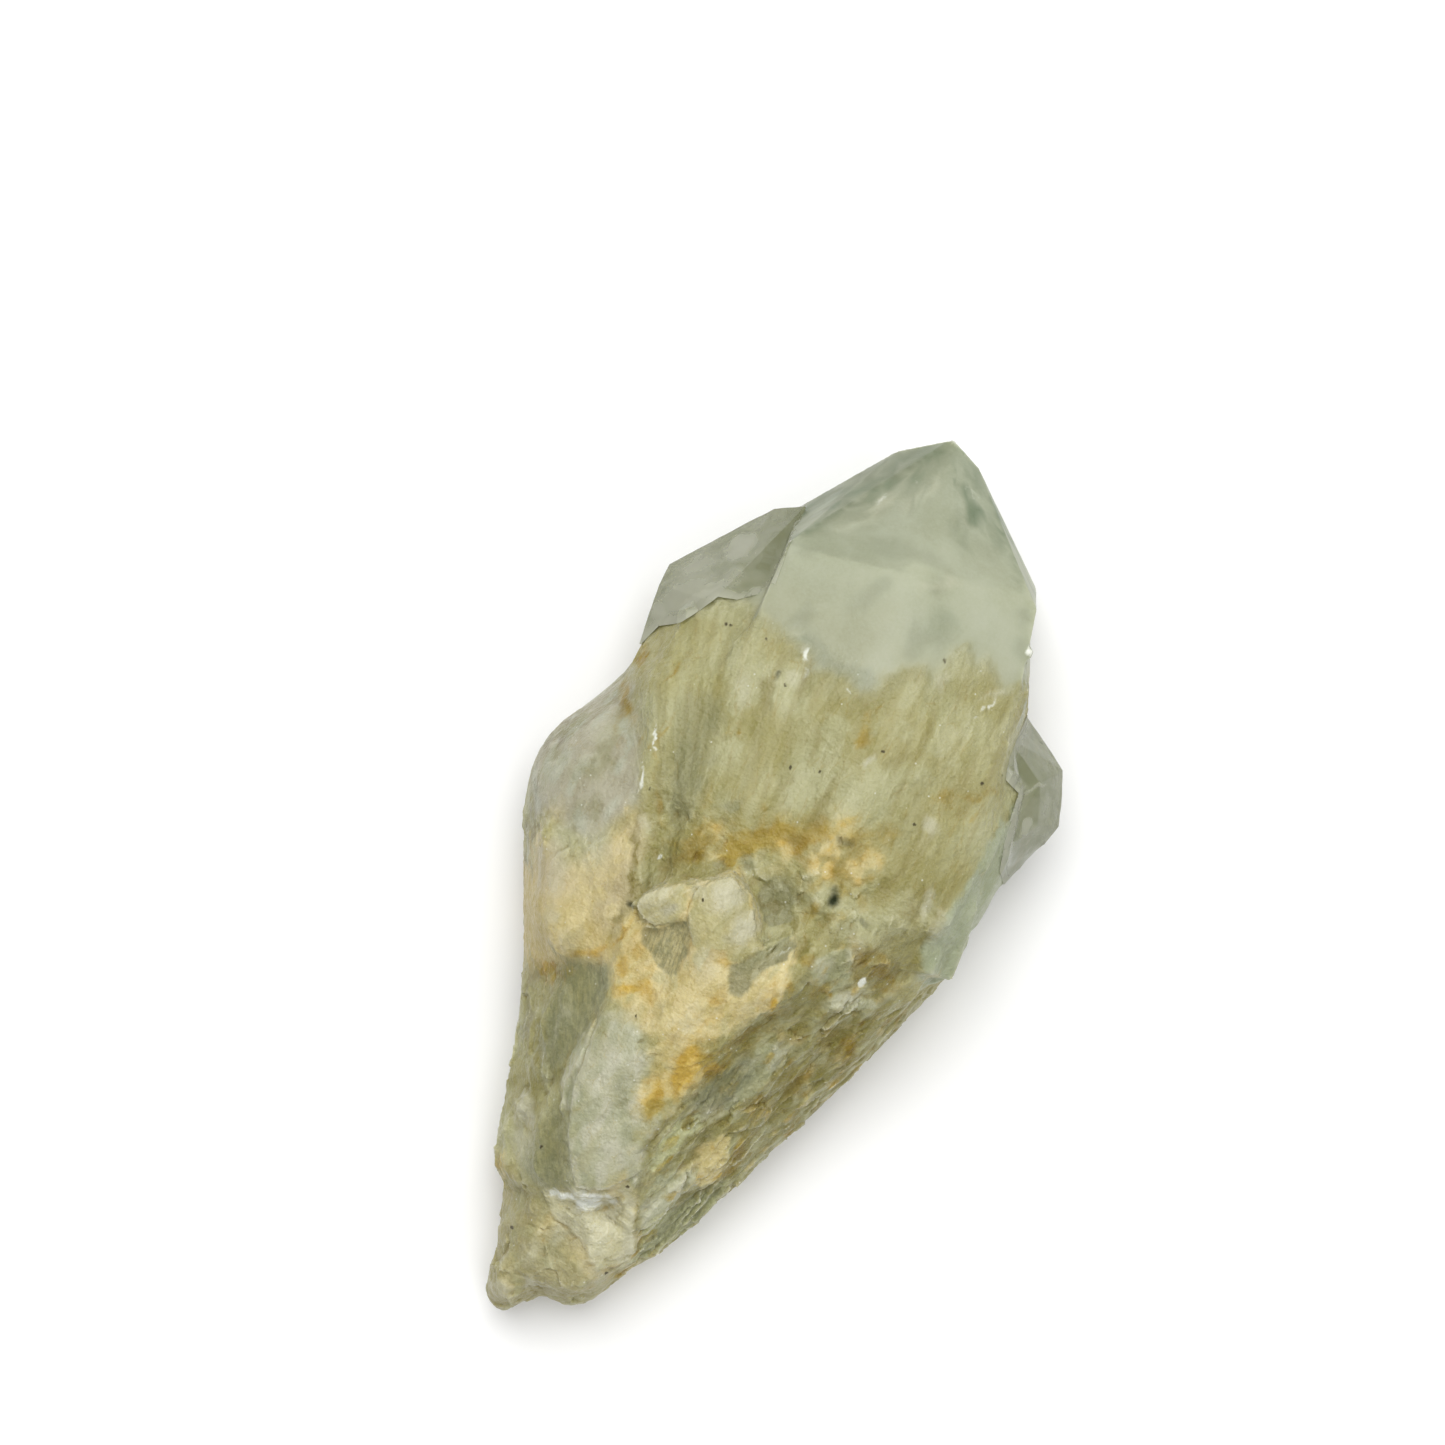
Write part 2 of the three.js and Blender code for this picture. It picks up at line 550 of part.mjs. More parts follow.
// Flakes on the broken plates: x, y, length, width, degrees turned to the left, relief.
const FLAKES = [
  [-3.2, -8.4, 7, 3.4, 4, 0.5], [-3.6, -14.4, 6.4, 3, -6, 0.5], [-8.9, -6.6, 3.4, 2.6, 50, 0.4],
  [1.6, -7.4, 5, 1.8, -32, 0.5], [3.4, -11, 6, 2.4, -24, 0.5], [-7.9, -16.6, 8, 4, 8, 0.6],
  [-5.4, -21.4, 5, 3.4, -12, 0.5], [-6.6, -27, 9, 4.2, 16, 0.6], [-1.9, -25.6, 9, 3, 2, 0.5],
  [-3.6, -31.2, 5, 3, 20, 0.5], [-8.8, -31.6, 6, 2.4, 22, 0.4], [-17.9, -8, 8, 4.6, 28, 0.6],
  [-13.8, -6.4, 7, 3.2, 16, 0.6], [-14.4, -11.8, 4.6, 3.4, -30, 0.5], [-19.2, -12.4, 5, 3, 34, 0.4],
  [-12.7, -19, 7, 3.2, 8, 0.4], [-13.2, -25.6, 4.4, 2.6, 24, 0.4], [-5.6, -38, 4, 3, 60, 0.5],
  [-1.2, -38.6, 5, 2.6, -14, 0.6], [1.4, -40.6, 3.6, 2, -40, 0.5], [-8.8, -41, 4, 2.2, 10, 0.4],
  [-3.4, -43.4, 3.4, 2.2, 80, 0.4], [-20.4, 3, 6, 4, 14, 0.3], [-18.4, -1, 5, 3.4, 40, 0.3],
  [9.4, -2.4, 4.4, 2.4, -20, 0.6], [6.4, -3.6, 4, 2.2, -36, 0.6],
];

// The rough hollow in the middle of the front is filled with lumps.
const HOLLOW = { x: 0.4, y: 3, halfWidth: 9.6, halfHeight: 4.4, lumps: 38, size: [2.4, 4.4] };

function hollowLumps(skin) {
  return Array.from({ length: HOLLOW.lumps }, () => {
    const turn = random(0, 2 * Math.PI);
    const reach = Math.sqrt(random());
    const x = HOLLOW.x + HOLLOW.halfWidth * reach * Math.cos(turn);
    const y = HOLLOW.y + HOLLOW.halfHeight * reach * Math.sin(turn);
    return lumpOn(skin, [x, y, random(...HOLLOW.size)]);
  });
}

// Single lumps: x, y, size.
const LUMPS = [
  [-8.9, 11.2, 1.8], [4.6, 5.4, 3.2], [3, 3.4, 3], [6.6, 4.6, 2.6], [1, 3.6, 2.8], [6.9, 7, 2.2],
  [-12, -29.4, 4], [-12.2, -32.2, 4.4], [-11.2, -34.8, 3.6], [-3.2, -34.6, 3.2], [-1.4, -34.4, 2.4],
  [-9, -27.6, 1.2], [2.2, -37, 3.4], [-6.8, -37.4, 3.2], [-0.6, -42.2, 3.4], [-7.4, -44.6, 3.6],
  [12.3, 29.4, 1.4], [11.3, -5, 1.4],
];
const EDGE_LUMPS = [ // x, y, z, size
  [-15, -25, 8.6, 1.8], [0.6, -43.9, 7, 2.4], [-4.4, -45.8, 6.5, 2.2], [-8.8, -43.2, 7, 2],
  [-20.9, 12.6, 12, 1.6],
];

// Pits: x, y, width, depth.
const PITS = [
  [5.6, 0.9, 1.9, 1.8], [4, 6.3, 1.7, 1], [-3.2, 0.5, 1.4, 0.8], [2.4, -23.9, 2, 0.9], [4.1, -25.4, 1.3, 1],
  [-7, 21.6, 1.6, 0.4], [-11.9, -4.4, 1.6, 1.2], [6.2, -7, 1, 0.8],
];

// A shallow round scar near the lower end.
const SCAR = { x: -5, y: -41, radius: 6.5, depth: 0.6, detail: 3 };

// Chips out of the outline: x, y, z, size.
const CHIPS = [
  [-16.6, -27.4, 8, 4.4], [-18.6, -22.6, 9, 3.6], [1.5, -46.6, 7, 3], [-22.9, 13, 10, 2.8],
  [20.6, 12.6, 14, 1.6],
];

function pit(skin, [x, y, width, depth]) {
  return lump(skin(FRONT, x, y).toArray(), width, (2 * depth) / width);
}

function scar(skin) {
  const ball = new THREE.IcosahedronGeometry(SCAR.radius, SCAR.detail);
  const floor = skin(FRONT, SCAR.x, SCAR.y).z - SCAR.depth;
  ball.translate(SCAR.x, SCAR.y, floor + SCAR.radius);
  return solidOf(ball);
}

function cuts(skin) {
  const pits = PITS.map((row) => pit(skin, row));
  const chips = CHIPS.map(([x, y, z, size]) => lump([x, y, z], size, CHIP_HEIGHT));
  return join([scar(skin), ...pits, ...chips]);
}

// Everything below the rest face is cut off, so that the stone lies flat.
function belowRest() {
  const ground = new THREE.BoxGeometry(2 * FAR, 2 * FAR, FAR);
  ground.translate(0, 0, REST_LEVEL - FAR / 2);
  return solidOf(ground);
}

// The slender crystals and the plates are set on the trunk, and the flakes and lumps on all of that.
function dressed() {
  const core = trunk();
  const skin = skinOf(core);
  const slenderCrystals = [...LEANING_BUNDLE, ...PARALLEL_CRYSTALS, ...FLANK_BLADES];
  const slivers = [
    ...slenderCrystals.map((row) => sliver(skin, FRONT, row)),
    ...SCATTERS.flatMap((stretch) => scatter(skin, stretch)),
    ...LEFT_SIDE_BLADES.map((row) => sliver(skin, LEFT, row)),
    ...RIGHT_SIDE_BLADES.map((row) => sliver(skin, RIGHT, row)),
  ];
  const set = join([core, ...slivers, ...PLATES.map(plate)]);
  const setSkin = skinOf(set);
  const relief = [
    ...hollowLumps(setSkin),
    ...LUMPS.map((row) => lumpOn(setSkin, row)),
    ...EDGE_LUMPS.map(([x, y, z, size]) => lump([x, y, z], size)),
    ...FLAKES.map((row) => flake(setSkin, row)),
  ];
  const rough = join([set, ...relief]);
  return rough.subtract(cuts(skinOf(rough))).subtract(belowRest());
}

const cluster = new THREE.Group();
const stone = new THREE.Mesh(outerShell(geometryOf(dressed())), new THREE.MeshStandardMaterial({
  color: 0xb3b48c, roughness: 0.35, metalness: 0,
}));
stone.name = 'citrine_cluster';
cluster.add(stone);

export default cluster;
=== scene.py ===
import math
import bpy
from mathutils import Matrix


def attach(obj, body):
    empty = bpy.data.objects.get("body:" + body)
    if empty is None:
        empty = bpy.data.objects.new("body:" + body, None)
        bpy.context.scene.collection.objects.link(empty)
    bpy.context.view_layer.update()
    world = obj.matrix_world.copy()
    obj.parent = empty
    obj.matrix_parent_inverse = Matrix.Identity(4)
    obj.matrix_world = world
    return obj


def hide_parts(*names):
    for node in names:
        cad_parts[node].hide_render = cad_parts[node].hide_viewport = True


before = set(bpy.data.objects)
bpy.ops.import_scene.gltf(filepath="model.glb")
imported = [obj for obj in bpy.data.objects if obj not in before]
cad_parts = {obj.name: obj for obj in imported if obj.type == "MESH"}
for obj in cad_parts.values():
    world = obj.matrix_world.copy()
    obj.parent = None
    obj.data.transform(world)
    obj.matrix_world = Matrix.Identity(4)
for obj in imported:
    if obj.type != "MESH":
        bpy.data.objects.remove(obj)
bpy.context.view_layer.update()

from types import SimpleNamespace

import bmesh
import bpy
import numpy as np
from mathutils import Vector, kdtree, noise

# The finish of a natural quartz cluster that lies on its back. +Y points to the tip of the main
# crystal and +Z up. Places and sizes are in millimetres here, and turned into metres in the meshes.
MM = 0.001

STONE = "citrine_cluster"
WELD = 1e-6  # metres: corners closer than this are one corner

# The camera looks straight down and is turned as the photograph is.
CAMERA_PLACE = (-10.84, 11.45, 612)
CAMERA_TURN = 25  # degrees
FRAME_WIDTH = 137.3  # what the frame takes in, in the plane that the scale was read in
SCALE_HEIGHT = 12  # of that plane above the floor
SENSOR = 36  # millimetres

# The two clear crystals, as upright outlines to cut the stone with.
LEFT_CLEAR = [
    (-12.8, 36), (-12.5, 29), (-12.2, 25.1), (-14.9, 22.9), (-16.6, 22.4), (-17.6, 20.6), (-18.8, 18.7),
    (-20.6, 17.6), (-21.4, 15.4), (-30, 11), (-30, 40),
]
RIGHT_CLEAR = [
    (15.3, 28), (15.3, 18.4), (17.6, 17.6), (18, 14), (19.1, 10.2), (24, 6), (28, 28),
]
CLEAR_OVERLAP = 0.4  # how far a clear crystal reaches into the milky stone
CUT_LOW, CUT_HIGH = -5, 40  # the heights that the cutting blocks stand between

LIGHT_GAIN = 1.32  # how much more than full light the studio gives a level surface


def tone(red, green, blue):
    """A colour as it should look in the picture, from 0 to 255, turned into what the shader wants."""
    def linear(value):
        value /= 255
        return (value / 12.92 if value <= 0.04045 else ((value + 0.055) / 1.055) ** 2.4) / LIGHT_GAIN
    return (linear(red), linear(green), linear(blue))


MILKY = tone(181, 185, 157)
MILKY_PALE = tone(194, 198, 175)
MILKY_WARM = tone(178, 180, 150)
TIP_GREEN = tone(154, 162, 137)
# A grey-green for blotches on the tip, and the painted shade on the tip's upper faces above the shoulder.
TIP_GREY_AND_PAINTED_SHADE = tone(146, 152, 126)
# Painted shade for the steep face at the upper left of the tip.
STEEP_FACE_PAINTED_SHADE = tone(128, 134, 106)
TIP_DARK = tone(112, 128, 98)
RIM = tone(146, 138, 112)
KHAKI = tone(174, 168, 110)
KHAKI_PALE = tone(190, 188, 142)
KHAKI_DEEP = tone(148, 136, 70)
GREY_FACE = tone(156, 155, 112)
WARM_GREY = tone(182, 177, 150)
WARM_WHITE = tone(208, 206, 180)
CREAM = tone(223, 208, 148)
CREAM_DEEP = tone(206, 188, 124)
LEFT_PALE = tone(198, 184, 140)
PALE_STONE = tone(176, 178, 140)
OLIVE = tone(134, 126, 48)
SLAB_GREEN = tone(174, 181, 146)
LOWER_END = tone(178, 170, 120)
LEAF = tone(187, 181, 126)
GREY_LEAF = tone(176, 172, 138)
GREY_HOLLOW = tone(150, 149, 110)
GREEN_CRYSTAL = tone(170, 172, 132)
PALE_BLADE = tone(192, 193, 156)
PALE_BLOCK_TONE = tone(222, 218, 176)
DARK_SLAB = tone(204, 206, 154)
CANDLE_SHADE = tone(158, 153, 98)
WINDOW = tone(124, 126, 90)
PIT = tone(50, 58, 28)
OCHRE_TINT = (1.0, 0.82, 0.38)  # what iron lets through of each colour
RUST_TINT = (0.8, 0.6, 0.16)
# White of the frosted breaks, and of the painted glints.
FROST_AND_GLINT = tone(244, 246, 232)
SPECK = tone(84, 76, 46)

# Where each look of the stone lies, as outlines seen from above.
UPPER_FACES = [
    (-15.0, 22.4), (-13.3, 22.8), (-11.7, 22.0), (-9.6, 21.4), (-7.5, 21.0), (-6.1, 20.6), (-5.4, 19.1),
    (-3.9, 19.7), (-1.8, 20.3), (-0.5, 19.2), (0.6, 20.0), (0.9, 21.4), (2.1, 22.7), (4.0, 24.0),
    (5.3, 23.1), (5.5, 24.1), (5.9, 26.5), (6.9, 27.7), (8.2, 26.3), (8.9, 27.4), (10.7, 25.9),
    (11.7, 25.3), (12.8, 26.3), (13.4, 27.2), (16, 30), (12, 50), (-16, 50),
]
STEEP_FACE = [
    (-14, 29), (-10.4, 31.8), (-6.6, 36.4), (-4.2, 40), (-1.6, 44), (-3, 48), (-16, 40),
]
TIP_FACES = [
    (-14, 29), (-10, 29.5), (-5, 30.5), (-1.7, 31.1), (-1, 32.5), (0, 32.7), (5, 33), (9, 34.4), (12, 50),
    (-16, 50),
]
CREAM_SHEET = [
    (-7.2, -3.4), (-6.1, -2.4), (-5.1, -2.4), (-4.1, -0.2), (-2.8, -1.2), (-1.2, -2.3), (0.3, -4),
    (1.1, -5.4), (0.7, -7.1), (1.3, -8.5), (3.4, -3.6), (4, -4.2), (4.4, -6.1), (4.6, -8.8), (5, -10.5),
    (2.3, -13.9), (0.4, -16.3), (-0.3, -21.6), (-0.6, -24.8), (-2.4, -25), (-3, -22.3), (-2.9, -18.5),
    (-7.4, -17.5), (-9.3, -18.1), (-9.9, -15.6), (-11, -12.4), (-11.1, -10.3), (-11, -7.2), (-10.1, -5.7),
    (-8.4, -4.1),
]
LEFT_CREAM = [
    (-25, -6), (-18.5, -6.4), (-16.4, -6), (-15.2, -1.6), (-13.9, 0.4), (-12.4, -4), (-11.2, -9),
    (-11, -13.4), (-14.6, -14.6), (-16.4, -16), (-20, -19),
]
LEFT_CRYSTAL = [
    (-30, -3.8), (-17.4, -3.4), (-14.4, 1.5), (-17.6, 7), (-20.6, 12.6), (-30, 16),
]
GREY_BUNDLE_FACE = [
    (-15.4, 12.6), (-11.4, 14), (-9.6, 4), (-10.2, 0.4), (-12.4, 2.4), (-14, 7),
]
GREEN_SLAB = [
    (17.5, 18), (16.6, 12), (15.8, 5), (15, -1), (17, -3), (22, -2), (22, 18),
]
RIGHT_FLANK = [
    (7, -1.6), (10, -2), (20, -8), (14, -30), (0, -46), (2.4, -34), (0, -25), (1.4, -18), (3, -12.6),
    (5.6, -9),
]
LONG_PLATE = [
    (-9.4, -17.2), (-10.5, -22.2), (-9.8, -26.7), (-6.9, -31.0), (-4.9, -34.7), (-1.5, -33.3),
    (0.8, -33.0), (-0.1, -30.2), (-0.6, -26.6), (0.5, -23.3), (-1.8, -24.4), (-3.4, -22.1), (-3.6, -19.7),
    (-6.0, -17.2),
]
PALE_BLOCK = [
    (1.4, -33.2), (1.7, -30.3), (3.3, -28.3), (4.7, -28.6), (3.9, -31.7), (2.9, -35.6),
]
LOWER_END_PALE = [
    (3.5, -38.7), (1.5, -33.5), (-1.3, -30.5), (-2.6, -32.9), (-4.5, -34.7), (-6.9, -35.5), (-6.5, -37.2),
    (-7, -39.3), (-5.8, -40.6), (-2.4, -41.4), (0.9, -41.8),
]

# Clear windows in the stone, as outlines, and how soft the edge of each one is.
WINDOWS = [
    [
        (-9.6, -9.1), (-7.8, -8.1), (-6, -6.5), (-5.1, -7.8), (-4.7, -9.5), (-4.8, -11.5), (-6.1, -12),
        (-7.7, -10.9), (-8.8, -10.4),
    ],
    [
        (-15, -14.8), (-12.7, -14.1), (-10.7, -13.6), (-10, -15.6), (-9.6, -17.9), (-10.2, -20.1),
        (-10.8, -23.4), (-11.8, -24.6), (-13.1, -23.5), (-14.4, -20),
    ],
    [
        (-10.3, -31), (-10, -27.4), (-8.9, -27.8), (-5.1, -34.7), (-7.1, -35.3), (-9.8, -35.3),
        (-10.4, -32.8),
    ],
    [
        (4.6, -15.8), (6.2, -17.2), (4.2, -21.5), (2.2, -22.6), (1.4, -21.6), (2.8, -18.4),
    ],
    [
        (2.9, -36.8), (3.6, -34.3), (4.9, -30.6), (8, -27.6), (7.6, -32.4), (6, -35), (3.5, -38.7),
    ],
]
WINDOW_SOFTNESS = [0.5, 1.6, 2.5, 1, 1.6]

# Dark pits: x, y, half width, half length, degrees turned left, strength.
PITS = [
    (5.5, 1, 0.75, 0.95, 0, 1), (4, 6.2, 0.8, 0.6, 0, 0.45), (-8.1, 17.6, 0.2, 0.6, 10, 0.7),
    (-11.2, -7.4, 0.5, 0.3, -30, 0.8), (8.9, 0.3, 0.7, 0.4, -30, 0.5), (2.3, -24, 0.7, 0.6, 0, 0.4),
]

# Tiny dark grains: x, y.
SPECKS = [
    (-1.6, 38.9), (3.8, 15.3), (13.5, 16.5), (-14.3, 3), (-9.4, -32), (9.3, 10.4), (-1.3, 11),
    (-0.8, 11.1), (-10.4, 20.2), (-14, 20), (-14.5, 20), (-6.5, -16.7), (5.5, 25.4), (-7, 17.1),
    (-4.6, 27.2), (-5.5, -4.2), (-0.5, -31.8), (-8.7, -40.6), (1.3, -40.7), (-3.4, 10.4),
]
SPECK_REACH = 0.384  # from the middle of a speck to where it is gone

# White frosted breaks, and a few painted glints among them, written as the pits are.
FLASHES = [
    (-3.1, -34.8, 1.5, 1.1, 30, 1), (-1.4, -33.9, 1, 0.7, 0, 0.6), (-5.1, -35.1, 1.7, 0.5, 20, 0.75),
    (-6.6, -35.7, 0.5, 0.6, 0, 0.75), (-4.3, -34.3, 1.2, 0.5, 60, 0.5), (-6.2, 36.6, 0.4, 1.1, -14, 0.5),
    (-6.4, 20.5, 0.3, 0.8, 24, 0.9), (-5.8, 19, 0.4, 0.8, 24, 0.45), (11.3, -5, 0.55, 0.55, 20, 1),
    (10.8, 23, 0.22, 1.9, -24, 0.6), (1.4, 41, 1.4, 0.35, 0, 0.35), (-3, 39.8, 1.2, 0.3, 0, 0.35),
    (12.4, 29.8, 0.35, 1, 0, 0.8), (-1.4, 19, 0.2, 0.5, 30, 0.6), (-16, 7.6, 0.2, 1.4, 26, 0.8),
    (-15.4, 3.6, 0.25, 1.2, 20, 0.8), (-10.8, -2.5, 0.3, 0.5, 0, 0.7), (3.2, -5.6, 0.3, 1.6, -34, 0.4),
    (4.6, -7.2, 0.2, 1, -30, 0.35),
]

# Thin plates that stand out of the stone or lie below it: colour, lift, outline.
PLATES = [
    (LEAF, 0.25, [
        (-11.3, -7.5), (-10.7, -6.2), (-9.4, -4.8), (-8, -3.9), (-7.1, -4), (-6.7, -5.4), (-6.8, -6.7),
        (-7.4, -7.9), (-8.7, -8.6), (-9.6, -8.5), (-10.6, -8),
    ]),
    (GREY_LEAF, -0.05, [
        (-9, -6.8), (-8.3, -5.9), (-7.5, -5.5), (-7.3, -6.5), (-8.1, -7.2),
    ]),
    (LEAF, 0.18, [
        (-7.4, -3), (-6, -3.1), (-5.2, -2.3), (-4.4, -0.7), (-3.3, -1.4), (-2.2, -1.7), (-0.9, -3.1),
        (0.6, -4.4), (1.2, -5.6), (0.7, -6.5), (0.3, -7.8), (-1, -8.4), (-1.7, -7.6), (-2.8, -7.8),
        (-2.9, -9.1), (-3.1, -10.2), (-4, -10), (-4.5, -8.5), (-5.9, -6.7), (-6.3, -5),
    ]),
    (GREY_HOLLOW, -0.2, [
        (-0.8, -8.7), (0.6, -7.4), (1.9, -5.5), (3.1, -3.6), (3.9, -4.3), (4, -5.8), (2.4, -7.6),
        (1.8, -9.7), (1.4, -11), (0.3, -11),
    ]),
    (GREY_HOLLOW, -0.1, [
        (-1.2, -0.8), (0.7, 0.7), (2.1, -0.2), (2.8, -2.4), (1.9, -3.7), (0.7, -3.9), (-0.9, -2.4),
    ]),
    (GREEN_CRYSTAL, 0.2, [
        (6.3, -4.7), (7.4, -3.4), (8.7, -2.4), (9.5, -3.2), (9.9, -4.8), (9.7, -6.4), (8.7, -7.1),
        (7, -7.1), (6.2, -5.9),
    ]),
    (PALE_BLADE, 0.18, [
        (9.3, -8.6), (9.4, -7), (10.8, -6.8), (12.5, -6.2), (13.9, -6.5), (12.5, -7.6), (11.3, -7.9),
    ]),
    (GREEN_CRYSTAL, 0.2, [
        (4.9, -16.3), (5, -15), (6.3, -13.6), (7.2, -14.2), (7.4, -15.6), (7.3, -17.6), (6.4, -19.5),
        (5, -21.5), (4.3, -21), (4.9, -18.5),
    ]),
    (CREAM, 0.15, [
        (5.2, -24.9), (5.3, -23.6), (6.4, -23.6), (7, -25.4), (7, -27.6), (6.2, -29.3), (5.1, -29.4),
        (4.9, -27),
    ]),
    (PALE_BLOCK_TONE, 0.3, [
        (-7.3, -36), (-6.3, -35.5), (-5.1, -34.6), (-4.1, -34.9), (-2.2, -35.6), (-0.9, -34.6),
        (-0.3, -32.7), (1.1, -33.7), (2.8, -37.7), (2.7, -39.4), (0.1, -40.6), (-2.1, -38.4), (-3.9, -38),
        (-5.4, -37.9),
    ]),
    (DARK_SLAB, -0.35, [
        (3, -37), (2.7, -35.3), (3.6, -33.3), (5.8, -30.3), (8.1, -27.6), (8.2, -30.4), (6.8, -34.2),
        (5.1, -36.6), (3.6, -39),
    ]),
    (PALE_BLADE, 0.3, [
        (2.1, -35.2), (2.1, -32.8), (2.8, -30.3), (4.1, -28), (5, -28.6), (4.6, -30.4), (3.7, -32.8),
        (2.9, -35.4),
    ]),
    (DARK_SLAB, -0.15, [
        (0.5, -25.9), (1.2, -23.9), (2.7, -22.8), (3.5, -23.7), (2.6, -25.3), (2.1, -27.6), (1.1, -29.7),
        (0.4, -29.2),
    ]),
]

# Painted patches, written as the pits are.
PALE_PATCHES = [
    (-12.5, 0, 0.7, 1.6, -10, 0.5), (-10.5, 14, 1.2, 2.4, 17, 0.9), (-8.8, 9.7, 1.2, 1.3, 25, 0.7),
    (-6.7, 17, 1.3, 2.4, 10, 0.8), (-1, 15.3, 1.7, 2, 25, 0.75), (-3.6, 18.1, 1.1, 1.4, -45, 0.35),
    (3.8, 20.9, 1.5, 2.1, 5, 0.6), (4.7, 17.7, 1.4, 1.7, 15, 0.5), (8.2, 19.3, 1.5, 3.2, 10, 0.7),
    (9.9, 21, 0.8, 3.1, 3, 0.5), (-15, 16.2, 1.4, 3.1, 15, 0.35), (-1.5, 9.2, 1.3, 2.7, 15, 0.55),
    (-4.9, 8.5, 1, 2.4, 13, 0.4), (3.9, 12.7, 1.5, 2, 35, 0.8), (5.8, 9.9, 1.7, 1.7, 25, 0.55),
    (8.4, 15.1, 1.7, 2.5, -55, 0.5), (10.6, 9, 1.7, 2, 25, 0.35), (10.3, 16.9, 1.4, 2.5, 5, 0.45),
    (-15.1, 3.8, 0.6, 2.8, 20, 0.5), (-8, 5.3, 1.1, 1.7, 25, 0.4), (12.8, 18.1, 1.1, 1.7, 5, 0.35),
    (7, 25.2, 1.1, 1.7, 15, 0.35), (2, -6.6, 1.1, 2.2, -30, 0.5), (5.9, -15, 1.5, 1.6, -5, 0.8),
    (10.9, -7.1, 0.9, 2.5, -55, 0.75), (8.1, -3.2, 1.4, 2, -35, 0.35), (13.9, 3.5, 0.8, 2.5, 0, 0.5),
    (2.9, -31.6, 1.3, 3.1, -17, 0.8), (6.8, -25.4, 0.8, 1.7, -5, 0.6),
]
